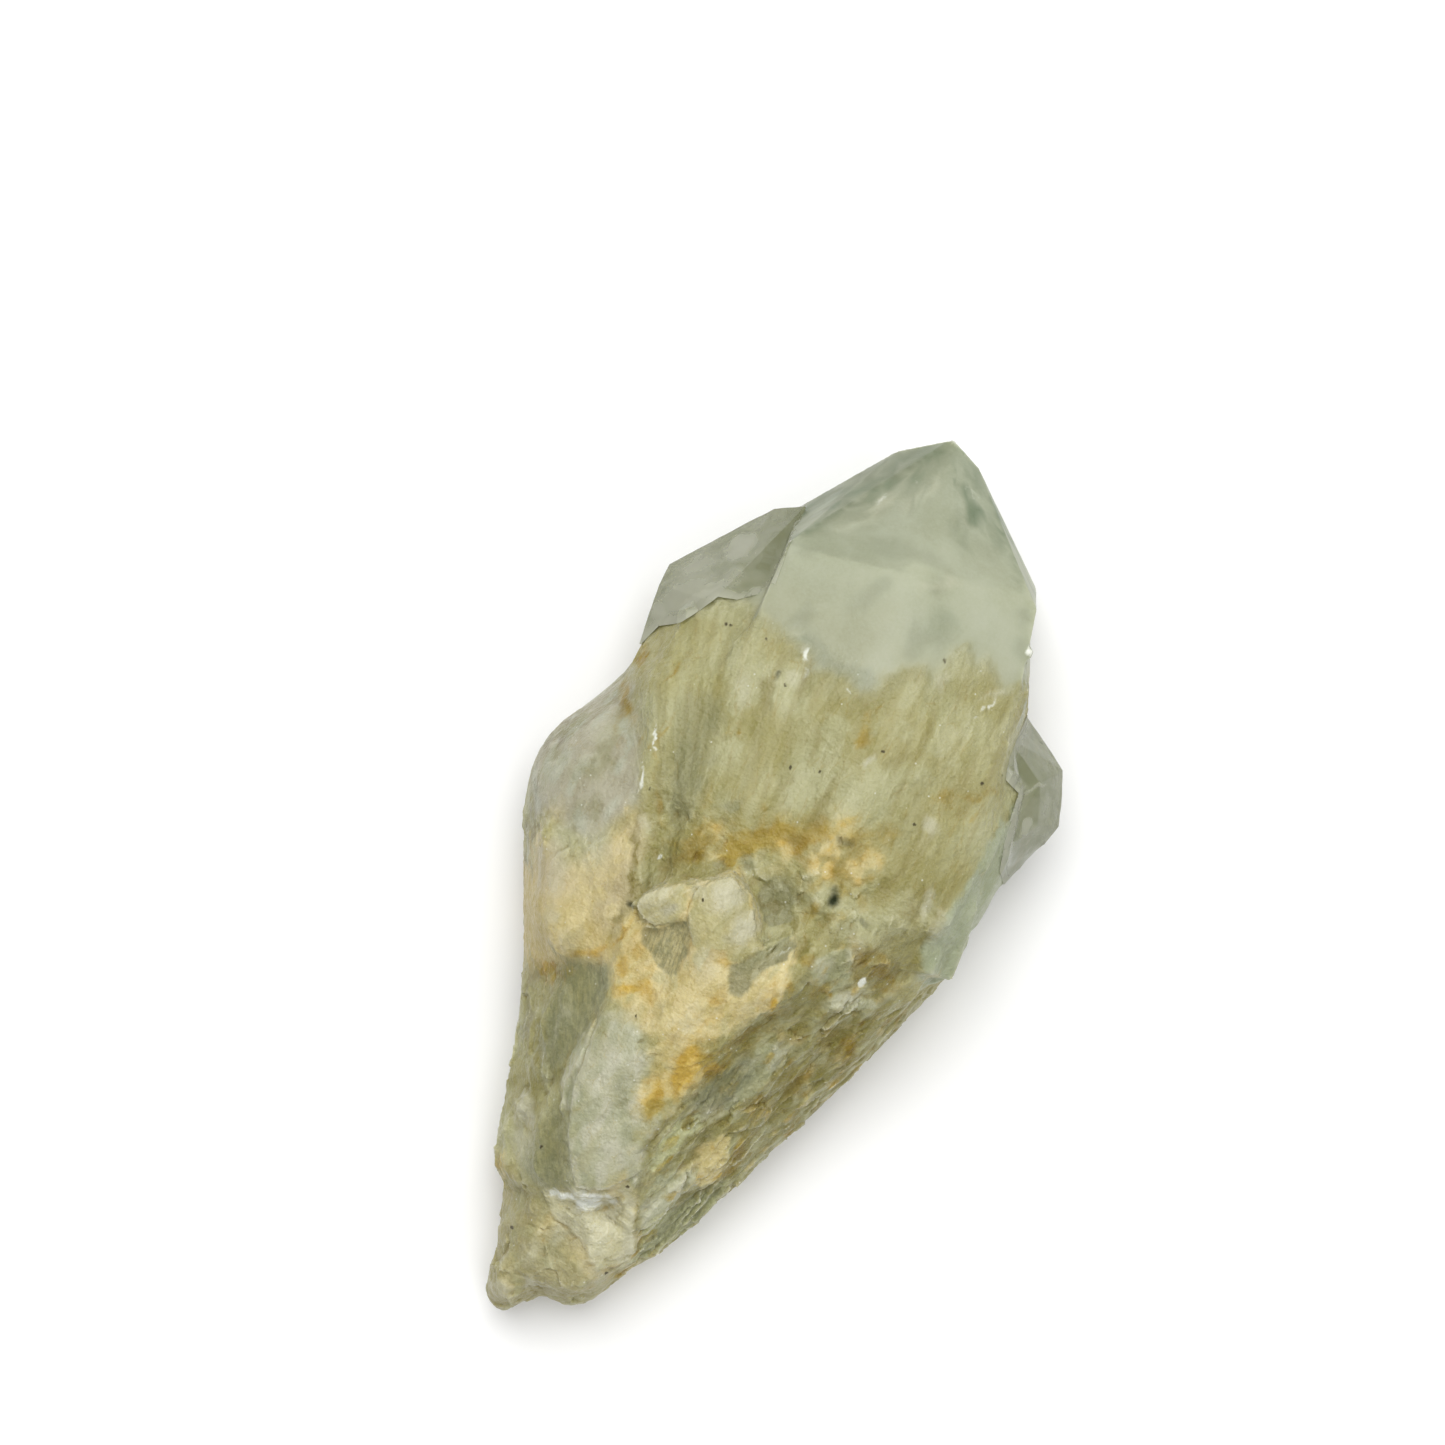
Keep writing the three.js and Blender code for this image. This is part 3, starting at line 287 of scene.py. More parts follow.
WHITE_PATCHES = [
    (-3.3, -37.7, 1, 2.2, 25, 0.5), (-1.1, -38.4, 0.7, 2.2, 25, 0.4), (1, -41.5, 0.9, 1, 25, 0.7),
    (1.8, -37, 0.5, 2.2, 25, 0.6), (-5.2, -44.4, 0.7, 0.7, 25, 0.7), (-7.1, -46.4, 1, 1.1, 25, 0.6),
    (-12.3, -29.7, 1.3, 1.7, 25, 0.9), (-9, -27.5, 0.4, 0.9, 25, 0.9), (-1.4, -34.4, 1.3, 1.8, 25, 0.5),
    (-8.7, -23.1, 1.7, 2, 45, 0.75), (-5.2, -20.7, 1.5, 1.8, -5, 0.8), (-4.1, -28.2, 1.7, 2.2, 25, 0.75),
    (-1.5, -28.9, 1, 1.8, 25, 0.7), (-5.9, 36.6, 0.5, 1.9, -15, 0.6), (-7.5, 33.4, 0.4, 2.6, -50, 0.35),
    (-3.6, 38.3, 0.3, 2.2, -25, 0.4), (-2.2, 40.4, 0.3, 2.6, -5, 0.4), (2.3, 31.8, 0.6, 2.2, -55, 0.4),
    (-13.1, -19.7, 0.4, 2.6, 13, 0.6), (-9.8, -19.4, 0.4, 2.2, 0, 0.5), (-3.4, -35.8, 1.5, 1.8, -35, 0.6),
    (-0.6, -36.5, 1.5, 2.2, 25, 0.5), (0.3, -33.2, 0.5, 2.2, 35, 0.5), (-6.3, -35.1, 0.4, 1.5, -55, 0.6),
    (-3, -34.5, 1, 1.5, 70, 0.6), (-4.5, -38.5, 1.2, 2.5, -10, 0.45), (-1.5, -37.5, 0.8, 2, -20, 0.4),
    (-6, -42, 1, 1.6, 10, 0.35), (-5, -24, 1, 2.6, 10, 0.45), (-3, -29, 0.9, 2.6, -20, 0.35),
    (-20.9, 6.1, 1.3, 1.7, -35, 0.55), (-21, 3.1, 0.4, 1.1, -45, 0.35), (-24.4, 2.7, 0.2, 0.6, -30, 0.6),
    (-23.8, 1.2, 0.3, 0.7, -35, 0.5), (-23, 0.6, 0.3, 0.8, -5, 0.35), (-23.6, -1.2, 0.8, 1.7, 25, 0.4),
    (-18.9, -8, 1.1, 3.1, 15, 0.45), (-17.8, -11.8, 1.1, 1.4, 25, 0.5),
    (-15.3, -13.1, 1.1, 1.7, -35, 0.4), (-22, -4.1, 0.4, 1.1, -55, 0.5),
    (-19.8, -3.4, 0.2, 2.5, -55, 0.4), (-15.6, 2.8, 0.3, 1.7, 15, 0.6), (-13.5, 0.1, 0.8, 0.8, 25, 0.4),
    (-10.4, 14.9, 0.8, 2.4, 22, 0.35), (-6.4, 20.3, 0.4, 1, 25, 0.6), (-6.4, 18.1, 1, 1, 25, 0.35),
    (6.1, 23.5, 0.6, 1.2, 5, 0.4), (11.1, 24.5, 0.3, 2, -45, 0.4), (-7, -20.9, 2.2, 2.2, 25, 0.7),
    (-6, -24.9, 2.2, 3.3, 10, 0.5), (-2.3, -25.2, 1.5, 2.2, 5, 0.45), (-4.7, -30.3, 1.8, 2.2, 25, 0.45),
    (-10.8, -32.8, 1.1, 2.2, 25, 0.5), (-4.7, -34.6, 0.5, 2.9, -55, 0.7), (-2.2, -34, 1, 1.5, -35, 0.6),
    (-1.8, -37.4, 2.2, 3.3, 25, 0.4), (1.4, -36.4, 0.7, 3.3, 15, 0.35), (2.3, -33.3, 0.7, 2.2, -10, 0.5),
    (4, -29.9, 0.9, 1.8, -25, 0.35), (-12.6, -19.5, 1.1, 1.5, 25, 0.35),
    (-9.8, -24.6, 0.6, 2.2, 10, 0.35), (0.4, -41.3, 1.1, 1.5, 25, 0.4), (5, -16.5, 0.7, 1.5, -15, 0.4),
    (4.1, -19.8, 0.6, 2.2, -15, 0.4), (-3.7, -2.9, 2, 2, -5, 0.7), (-1, -5.1, 1.4, 2.2, 5, 0.75),
    (-6.2, -3.6, 1, 1, 25, 0.45), (-9.5, -6, 0.7, 2.4, -43, 0.5), (-8.4, -7, 0.8, 2, -45, 0.35),
    (-2.8, -9.4, 1.2, 2, 15, 0.35), (9.2, -2.5, 1, 1.6, 15, 0.5), (10.5, -7.2, 1, 2, -50, 0.5),
    (7, -5.3, 1.2, 1.2, 25, 0.4), (7.1, -14.9, 0.6, 2, 5, 0.4), (3, -21.1, 0.8, 2, -35, 0.35),
    (15.5, 2.6, 0.8, 2.4, 5, 0.4), (-2.3, -15.3, 1.2, 2.4, -15, 0.35), (3, -10.7, 0.6, 2.8, -30, 0.35),
    (-6.2, -22.8, 1.6, 2.4, 15, 0.35), (-16.9, -3.8, 1.7, 2.5, 5, 0.4), (-20, -5.8, 1.1, 2.2, 15, 0.35),
    (-6.9, -19.1, 2, 2.5, -5, 0.55), (-5, -22, 1.4, 2.2, -5, 0.45), (-7.7, -23.3, 1.7, 2.2, 5, 0.4),
    (-12.3, -29.4, 1.1, 1.7, 25, 0.8), (-8.9, -27.4, 0.5, 0.8, 25, 0.8),
    (-11.6, -32.2, 0.6, 2.5, 25, 0.5), (1.8, -37, 0.7, 1.3, 15, 0.6), (-5.2, -44.6, 0.5, 0.8, -15, 0.5),
    (0.6, -41.3, 0.5, 1.1, -35, 0.5), (13.6, 4.3, 0.4, 1.7, 10, 0.6), (3.5, -21.7, 0.7, 1.4, -35, 0.5),
    (4.5, -20.6, 0.6, 1.1, -35, 0.4), (4.7, -22.1, 0.4, 1.4, -35, 0.35), (10.9, 10.9, 0.8, 1, 25, 0.7),
    (2.9, 13.6, 0.4, 0.8, -35, 0.7), (-4.9, 39, 0.3, 0.8, -15, 0.4),
]
OLIVE_PATCHES = [
    (13, -3, 1.2, 2, -30, 0.7), (10, -3, 1, 1.5, -30, 0.7), (10.4, -3, 0.6, 1.6, 15, 0.7),
    (13.1, -2.9, 1, 1.7, -45, 0.8), (1.8, 15.5, 0.7, 1.1, 15, 0.6), (4.9, -4.5, 0.6, 1.6, 15, 0.5),
    (7.8, -8.9, 0.6, 1.6, -35, 0.5), (4.3, -12.7, 0.7, 2.8, -35, 0.5), (15.5, 16.9, 1.1, 1.7, 5, 0.6),
    (14.3, 6.4, 1.7, 3.1, -25, 0.6), (11.4, 4.5, 1.4, 2, -15, 0.7), (9.4, 4.2, 0.8, 1.1, -5, 0.8),
    (1, 7, 0.4, 2, -10, 0.8), (14.8, 9.1, 1.1, 2.2, -15, 0.5), (2.2, -0.4, 0.8, 1.4, 25, 0.5),
    (12.2, -3.4, 0.8, 2.5, -50, 0.9), (9.9, -3.6, 0.8, 1.4, -25, 0.5), (5.4, -1.4, 0.7, 1.7, 5, 0.5),
    (3, -2.8, 0.4, 1.1, 15, 0.8), (0.9, -6.9, 0.2, 1.7, -35, 0.7), (11.4, -10.9, 1.1, 2.5, -25, 0.6),
    (7.9, -14.7, 0.7, 2.2, -25, 0.6), (8.3, -9.6, 0.8, 2, -35, 0.5), (4.5, -13.2, 0.7, 2.5, -30, 0.5),
    (5.3, -19, 0.8, 2.2, -20, 0.6), (9.1, -17.8, 0.7, 2.5, -25, 0.5), (13.6, -8.3, 0.6, 2.2, -25, 0.5),
    (4.3, -25.3, 0.7, 1.7, -5, 0.7), (1.6, -25.6, 0.7, 2.5, -15, 0.5), (-11.6, -5.9, 0.4, 2.2, 15, 0.5),
    (11.9, -14.7, 0.7, 2.2, -20, 0.5), (3.4, -24.6, 0.7, 2.5, -15, 0.7),
    (-0.2, -26.2, 0.4, 3.1, -13, 0.5), (7.1, -25.3, 0.4, 1.4, 5, 0.5), (7.6, -19.2, 0.8, 2.5, -20, 0.4),
    (0.7, -32, 0.2, 2.5, 20, 0.4), (0.3, -0.7, 1.7, 2.2, 5, 0.6), (2.5, -1.5, 1.1, 1.7, 5, 0.5),
    (-7.7, 11.9, 0.4, 3.4, 20, 0.5), (-11.3, -3.7, 0.7, 3.4, 20, 0.4), (11.5, 1.5, 0.7, 2.5, 5, 0.35),
    (12.1, -6.5, 0.4, 1.7, -35, 0.4),
]
RIM_PATCHES = [
    (-24.1, 4, 0.4, 1.4, -25, 0.8), (-24.7, 5.7, 0.3, 3.1, -30, 0.7), (-25.8, 2.1, 0.4, 2.2, -5, 0.7),
    (-25.1, -1.6, 0.3, 2.2, 25, 0.7), (-22.9, 5.8, 0.2, 1.7, -37, 0.5), (-23.1, -5, 0.4, 1.7, 25, 0.4),
    (-22.8, -5.6, 0.4, 2.2, 25, 0.6), (-20.7, 9.2, 0.4, 1.7, 25, 0.4), (-16.9, -18.9, 0.4, 1.7, 25, 0.5),
    (-15.5, -22.5, 0.4, 2.5, 20, 0.5),
]
GREEN_PATCHES = [
    (6.2, 39.3, 1.1, 6.5, 49, 0.9), (0.9, 42.8, 0.7, 2.2, 55, 0.5), (-9.7, 35, 0.7, 3.9, -35, 0.5),
    (-6.3, 39.9, 0.6, 3, -33, 0.45), (2.4, 39.3, 1, 1.7, 50, 0.95), (0.5, 41.2, 0.7, 1.1, 45, 0.7),
    (4.7, 38.3, 0.7, 2.5, 51, 0.5), (7.9, 36.1, 0.6, 2.5, 51, 0.4), (2.1, 36.7, 1.1, 1.7, 65, 0.35),
    (-3.8, 42.6, 0.8, 1.7, -35, 0.5), (-6.1, 37.8, 0.8, 2, -35, 0.6), (-8.7, 36.7, 1, 2.5, -35, 0.6),
    (-10.5, 34, 1, 1.7, -35, 0.6), (-4, 39.8, 0.6, 1.7, -35, 0.5), (-11.1, 31.8, 0.8, 1.7, -15, 0.5),
    (3.7, 28.6, 1.4, 1.7, 25, 0.35), (-7.7, 21.4, 0.7, 1.4, -65, 0.35), (-1.1, 44.8, 0.4, 1.7, 70, 0.6),
    (1, 42.4, 0.4, 1.7, 55, 0.5), (-1, 42.1, 0.3, 1.4, 25, 0.4),
]
DEEP_PATCHES = [
    (13, 4, 1.8, 2.6, -30, 0.9), (-11, 15, 1.4, 2.6, -10, 0.4), (13, -3, 1.4, 1.8, -30, 0.4),
    (10, -3, 1.4, 2, -30, 0.4), (-7.7, 21.2, 0.6, 1.4, -65, 0.5), (-7.8, 18.9, 0.6, 2.2, 15, 0.5),
    (-14.3, 22.3, 0.7, 1.7, -55, 0.4), (-8.4, 15.3, 0.7, 2.5, 20, 0.8), (-6.9, 10.1, 0.8, 2.5, 20, 0.6),
    (-4.7, 12.7, 0.8, 2.2, 13, 0.45), (-5.3, 16.7, 0.3, 2.8, 20, 0.5), (-3.1, 7.9, 0.6, 2.5, 10, 0.6),
    (0.8, 7.5, 0.7, 2.2, -10, 0.6), (0.6, 17.9, 0.8, 3.1, 15, 0.7), (2.5, 19.7, 0.4, 2.2, 10, 0.4),
    (6.6, 20.7, 0.3, 3.1, 10, 0.45), (7.9, 24.7, 1.3, 2.2, 15, 0.55), (10.4, 25.3, 1.1, 2, 10, 0.5),
    (13.3, 21.7, 1.7, 2.5, 10, 0.55), (11.7, 17.2, 0.4, 2.2, 0, 0.35), (5.7, 15.4, 0.6, 2, -50, 0.5),
    (7.4, 13.1, 1.4, 2, -35, 0.4), (-19.3, 10.2, 0.8, 3.9, 22, 0.5), (-15.9, 9, 0.4, 3.9, 20, 0.6),
    (-13.8, 3.2, 0.7, 3.1, 22, 0.6), (-12.9, 10.4, 0.4, 3.6, 17, 0.35), (-9, -2, 1.4, 2.5, -35, 0.5),
    (12.7, 13.7, 1.4, 2.5, -45, 0.45), (9.4, 11.5, 0.8, 1.7, 15, 0.4), (10.5, 6.5, 2, 2, 25, 0.4),
    (9.7, 4.3, 1.1, 1.4, -5, 0.6), (-0.7, 12.1, 0.6, 1.7, -55, 0.4), (-13, -3.5, 0.5, 4.8, 21, 0.7),
    (-11.8, -9.4, 0.6, 2.5, 0, 0.5), (1.5, 3, 0.8, 1.1, 25, 0.5), (11.5, -3.8, 0.8, 2.2, -55, 0.6),
    (7.5, -11.8, 1.4, 1.7, -25, 0.5), (10.3, -9.9, 1.1, 2, -25, 0.5), (3.2, -14.4, 0.7, 2.2, -30, 0.55),
    (8.4, -16.3, 1.1, 2.5, -25, 0.5), (11.8, -1.2, 1.7, 1.7, -15, 0.35), (8.2, -5.3, 1.1, 1.4, 5, 0.5),
    (11.2, -13.8, 1.1, 1.7, -25, 0.45), (7.4, -19.5, 1.4, 1.7, -15, 0.4),
    (-16.2, -18.5, 1.4, 1.7, 25, 0.4), (7.5, -27.6, 0.8, 1.7, -25, 0.5), (-0.3, -26, 0.7, 3.1, -13, 0.5),
    (-7.3, -40.7, 0.7, 3.4, 15, 0.35), (0.6, -30.5, 0.4, 3.1, -10, 0.4), (15, -1.5, 1.1, 2, -30, 0.35),
    (14.2, -4.4, 1.1, 1.7, -35, 0.4),
]
CANDLE_TOPS = [
    (-3.7, 19.6, 0.3, 2.1, -63, 0.7), (-4.8, 17.8, 0.3, 1.4, 30, 0.6), (-1.1, 19.5, 0.3, 1.1, 10, 0.6),
    (2.5, 23, 0.3, 2.4, -53, 0.7), (1.3, 20.6, 0.3, 1.4, 5, 0.5), (4.7, 23.5, 0.3, 1.1, 25, 0.5),
    (6.4, 27.1, 0.3, 1.1, -30, 0.6), (7.7, 26.9, 0.3, 1.1, 35, 0.6), (5.8, 25.2, 0.3, 1.4, -10, 0.5),
    (9.3, 27.2, 0.3, 0.8, -15, 0.5), (10.5, 26.2, 0.3, 1.4, 45, 0.5), (12.7, 26.5, 0.3, 1.4, -55, 0.5),
    (-2.9, 19, 1.2, 2, 25, 0.55), (3.3, 22.6, 1, 1.8, -35, 0.5), (-8.3, 15.5, 0.5, 2.8, 20, 0.55),
    (-6.5, 7.1, 0.6, 2.4, 5, 0.5), (0.9, 7.9, 0.7, 2.4, 0, 0.5), (5.1, 14.9, 0.6, 1.6, -55, 0.4),
    (8.3, 13.6, 1, 1.6, -35, 0.4), (13.7, 20, 0.6, 2, 5, 0.5), (14.9, 21.9, 0.6, 1.6, 0, 0.4),
    (-7.8, 12.6, 0.6, 1.6, 20, 0.5), (1.4, 19.1, 0.5, 2.4, 5, 0.35), (7.4, 18.4, 0.4, 2.4, -5, 0.4),
    (-3.3, 9.5, 0.4, 2.4, 15, 0.4), (8.2, 20.5, 0.8, 1.2, -5, 0.4), (-10, 9.8, 0.3, 1.6, -55, 0.5),
    (-17.4, 12.5, 0.4, 4.8, 19, 0.5), (-14, 4.5, 0.5, 3.6, 19, 0.6), (-13.6, 20.4, 1.6, 2, 25, 0.4),
]
GREY_PATCHES = [
    (-24, 4.9, 0.7, 3.6, -31, 0.6), (-23.5, 5.2, 0.2, 1.3, -35, 0.7), (-21.1, 1.8, 1.2, 1.7, -35, 0.5),
    (-23.3, 2, 0.8, 0.8, 25, 0.4), (-18.8, 3.5, 0.8, 2, 25, 0.5), (-18.4, -5.9, 0.3, 1.7, 60, 0.35),
    (-13.6, 4.4, 1.1, 5.6, 19, 0.35), (-12, -24.1, 1.8, 4, 17, 0.5), (-7.9, -33, 1.1, 2.9, 30, 0.5),
    (-4.1, -40.1, 2, 2, 25, 0.55), (6.2, -31.3, 1.3, 3.3, -25, 0.4), (1.4, -28.7, 1.1, 3.3, -5, 0.4),
    (2.7, -23.7, 1.1, 1.2, -15, 0.5), (-9, -37.6, 0.7, 2.2, 25, 0.4), (-15.9, -21.8, 0.7, 3.3, 15, 0.4),
    (0.7, -1.2, 1.6, 1.6, 25, 0.6), (0.8, -8.4, 0.6, 1.6, -35, 0.6), (3.1, -4.9, 1, 1.7, -25, 0.6),
    (5.1, -17.1, 1.2, 2.4, -25, 0.4), (9.4, -10.3, 0.8, 1.6, -25, 0.4), (12.8, -0.8, 2, 2.8, 5, 0.4),
    (13.3, 3.7, 2, 2.4, 5, 0.4), (8.5, -14.2, 0.8, 2, -25, 0.45), (7.8, -20.2, 1.2, 2.4, -15, 0.4),
    (2.6, -23.9, 1, 1.2, 25, 0.6), (8.6, -4.1, 1.6, 2, -5, 0.35), (-12, 6.5, 2.4, 4.8, 17, 0.6),
    (-11.9, 10.9, 1.1, 2, 17, 0.5), (-6.8, 4.6, 0.7, 1, -45, 0.7), (-11.5, 2.7, 1.1, 2.5, 20, 0.5),
    (-7.4, 4.6, 1.7, 1.7, 25, 0.4), (-3.2, 0.7, 0.9, 1.2, 25, 0.8), (-5.2, -0.8, 0.8, 1.1, 25, 0.5),
    (8.8, 10, 1.7, 2.2, 5, 0.35), (-7.1, 20.5, 0.8, 1.7, -45, 0.45), (0.9, -0.4, 1.7, 2, 5, 0.7),
    (-0.9, -0.3, 1.7, 1.7, 25, 0.4), (1.1, -7.4, 0.7, 2, -30, 0.6), (-10.7, -1.8, 1.1, 2.8, 15, 0.35),
    (-13.3, -21.5, 1.7, 3.1, 15, 0.6), (2.6, -23.7, 1, 1.2, -5, 0.9), (2.3, -20.4, 1.3, 3.1, -23, 0.75),
    (4.2, -16.7, 1, 1.7, -25, 0.6), (5.9, -11, 1.1, 2, -25, 0.55), (-4.6, -19.6, 0.7, 0.8, 25, 0.7),
    (7.3, -8.8, 0.8, 1.7, -35, 0.4), (-11.3, -24.9, 0.8, 3.1, 5, 0.5), (-4.6, -40.6, 1.7, 2.1, 5, 0.5),
    (1.9, -24, 1, 1.1, -5, 0.7), (1.8, -26.5, 1, 2.2, -15, 0.5), (-4.5, -24.9, 1.4, 1.7, 5, 0.35),
    (-4.3, -20.1, 0.8, 1.1, 5, 0.5), (8, -1.1, 1.1, 1.4, -25, 0.4), (-8.1, -6.1, 0.7, 1, -35, 0.45),
]
STAINS = [
    (10, -3, 1.1, 1.6, 60, 0.6), (-16.9, 14, 0.3, 2.2, -12, 0.6), (-15.6, 8, 0.3, 2.6, -10, 0.5),
    (-7, -14, 1, 1.8, 60, 0.6), (12, -3, 1.4, 3, 60, 0.5), (-14.6, -16.4, 0.6, 2.2, -45, 0.7),
    (-0.2, -20.2, 2, 3.2, -10, 0.6), (-1.8, -23.4, 1.2, 2, 10, 0.9), (-0.4, -18.4, 1.6, 2.8, -15, 0.8),
    (2.6, -18.3, 0.8, 2.8, -25, 0.6), (-8.8, -15.3, 1.2, 2.4, -50, 0.5), (-9.1, -11, 1, 2.4, 15, 0.45),
    (-2.1, -15.7, 1.6, 3.6, -10, 0.35), (-4.5, 2.5, 1.2, 2, -35, 0.7), (-7.9, 0.4, 1, 2.8, -55, 0.6),
    (4.6, 4.5, 2.4, 3.6, -35, 0.45), (1.1, 5.5, 1.6, 2.4, -35, 0.6), (3.7, -9.5, 1.2, 1.6, -15, 0.4),
    (12.9, -11.3, 1.2, 2.4, -5, 0.6), (9.9, -17.1, 1.2, 2.4, -10, 0.5), (13.4, -4.1, 1, 2, -35, 0.4),
    (7.7, -26.4, 0.8, 2, 5, 0.5), (8, -20, 1.5, 2.5, -30, 0.45), (5, 3, 1.6, 2.6, 60, 0.5),
    (-19.9, 8.9, 0.4, 2, 15, 0.5), (-11.1, -10.8, 0.3, 1.4, -15, 0.6), (-12.8, -13.3, 0.3, 1.4, -55, 0.5),
    (-9, -0.2, 0.8, 1.1, 25, 0.6), (-17, 7.1, 0.3, 1.1, 15, 0.35), (-1.1, 3.9, 1, 7.9, -59, 0.65),
    (-3.9, 5.2, 0.6, 2, 15, 0.4), (-8.5, 1.8, 0.4, 1.6, 15, 0.5), (1.6, 15.9, 0.8, 1.2, 15, 0.6),
    (1.5, 17.4, 0.4, 0.8, 25, 0.5), (10.8, 13.9, 0.8, 1.7, -35, 0.5), (8, 8.6, 1.6, 2, 25, 0.4),
    (5.8, 5.9, 1.2, 2, -35, 0.5), (-20.3, 14.2, 0.4, 1.6, 25, 0.5), (0.5, -18.4, 1, 2.4, -7, 1),
    (-1.8, -22.9, 1, 2, 5, 0.9), (0, -20.3, 1, 2.4, -15, 0.8), (5.4, -11.3, 1, 2.4, -35, 0.45),
    (2.8, -15.1, 0.8, 2.4, -35, 0.5), (12.8, -11.1, 1, 1.2, -5, 0.7), (9.9, -17.1, 1.2, 1.6, -5, 0.45),
    (7.7, -24.6, 0.8, 2, 15, 0.5), (-0.1, -14.3, 0.6, 2, -30, 0.4), (-8.6, -15, 1, 2.4, -45, 0.5),
    (-7.2, -12.3, 0.8, 1.6, -5, 0.35), (7.4, -7.5, 0.6, 1.7, 15, 0.45), (-0.2, 4.5, 1.6, 2.4, 25, 0.5),
    (-8.4, 0.6, 0.8, 3.6, -55, 0.5), (4.7, 7.2, 1, 3.2, -55, 0.5), (-9.5, -1.7, 1.2, 1.6, 25, 0.35),
    (10.7, -11.4, 0.6, 2, -30, 0.35), (5.4, -13, 0.5, 3.6, -33, 0.4), (2.7, -16.8, 0.7, 2.2, -20, 0.5),
    (7.7, -24.1, 0.5, 1.8, -25, 0.5), (-16.6, -16.9, 1.5, 1.5, 25, 0.4), (-19.9, 9.6, 0.6, 2, 35, 0.75),
    (-20.4, 13.7, 0.4, 1.2, 15, 0.7), (-19.7, 7.2, 0.6, 1.7, 25, 0.4), (-15.5, 6.7, 0.3, 2.5, 21, 0.45),
    (-12.9, 1.8, 0.4, 3.1, 23, 0.5), (1.6, 15.3, 0.8, 1.3, 15, 0.7), (1.2, 17.3, 0.4, 1.1, -5, 0.5),
    (1.2, 14.5, 0.3, 0.8, 25, 0.5), (1.8, 18.9, 0.2, 0.8, -35, 0.5), (-9.7, 10.8, 0.2, 1.2, -55, 0.6),
    (-7.8, 1.4, 1.4, 2.5, -35, 0.6), (-7.9, -0.9, 1.1, 2.2, -45, 0.6), (-4.7, 0.4, 0.8, 1.1, -35, 1),
    (-4, 1.9, 1.1, 2.5, -55, 0.9), (-1.8, 4.5, 1.1, 3.1, -55, 0.9), (0.6, 4, 0.7, 1.1, 5, 0.75),
    (2.6, 3.7, 0.6, 1.4, -45, 0.5), (3.6, 8.1, 0.6, 2.1, -55, 0.6), (3.3, 5.3, 0.4, 1.7, 25, 0.6),
    (5.4, 7.5, 0.8, 1, -35, 0.5), (7.5, 6.3, 0.8, 2, 35, 0.4), (7.4, 3.8, 0.7, 1.7, -45, 0.5),
    (3.5, 1.7, 0.7, 2, -35, 0.55), (4.1, -0.8, 1.1, 1.7, 5, 0.5), (1.9, 1.2, 0.6, 1.1, 25, 0.4),
    (7.9, 1.6, 1.1, 1.1, -5, 0.4), (13.5, 15.3, 0.6, 2.8, -50, 0.5), (14.1, 13.4, 0.3, 1.7, 0, 0.5),
    (11.6, 14.1, 0.6, 1.1, -45, 0.4), (6.8, -0.1, 0.8, 1.7, -35, 0.4), (13.3, 26.3, 0.4, 1.4, 35, 0.4),
    (-9.1, 4.2, 0.6, 1.7, 15, 0.4), (-12.9, -13, 0.4, 2.5, -45, 0.6), (-16.1, -16.6, 0.7, 1.7, -35, 0.8),
    (-14.9, -17.3, 0.8, 0.8, -15, 0.6), (-10.9, -9.3, 0.4, 2.5, -10, 0.5),
    (-8.1, -14.7, 0.7, 1.8, -55, 0.8), (-9.8, -13.1, 0.8, 1.4, 15, 0.6), (-0.4, -18.6, 1.2, 1.4, -15, 1),
    (-0.4, -20.7, 1.1, 1.4, 5, 0.85), (-2, -20.5, 1.7, 1.7, -5, 0.4), (1.9, -18.4, 1, 1.1, -5, 0.85),
    (2, -15.9, 0.3, 1.7, -30, 0.5), (-0.4, -12.1, 0.7, 1.4, -25, 0.45), (4.5, -10.1, 0.6, 1, 15, 0.8),
    (5.3, -8.5, 0.6, 1.7, 15, 0.5), (5.7, -5.2, 0.7, 0.8, 25, 0.6), (4.7, -3.8, 0.4, 1.4, 25, 0.4),
    (-1.2, -8.4, 0.8, 0.8, 25, 0.5), (12.9, -11.4, 0.6, 1.3, 0, 0.9), (14.1, -12.7, 0.8, 1.1, -15, 0.4),
    (10.1, -16.1, 0.4, 1.7, -30, 0.6), (13.7, -3.8, 0.6, 1, -35, 0.6), (11.7, -4.3, 0.4, 1.4, -55, 0.4),
    (9, -7.7, 0.3, 0.3, 25, 0.7), (7.5, -20.4, 0.4, 1.7, 5, 0.5), (4.5, -12.6, 0.4, 2, -35, 0.5),
    (-10.6, -23.3, 0.4, 2, 15, 0.35), (-9.9, -18.7, 0.4, 2.2, 0, 0.4), (7.6, -24.4, 0.5, 1.4, 5, 0.75),
    (5.1, -25, 0.4, 0.7, 25, 0.5), (5.2, -28.6, 0.3, 0.8, -55, 0.5), (-12.4, -35.6, 0.5, 1.1, 45, 0.5),
    (2.7, -28.6, 0.2, 0.8, -45, 0.5),
]
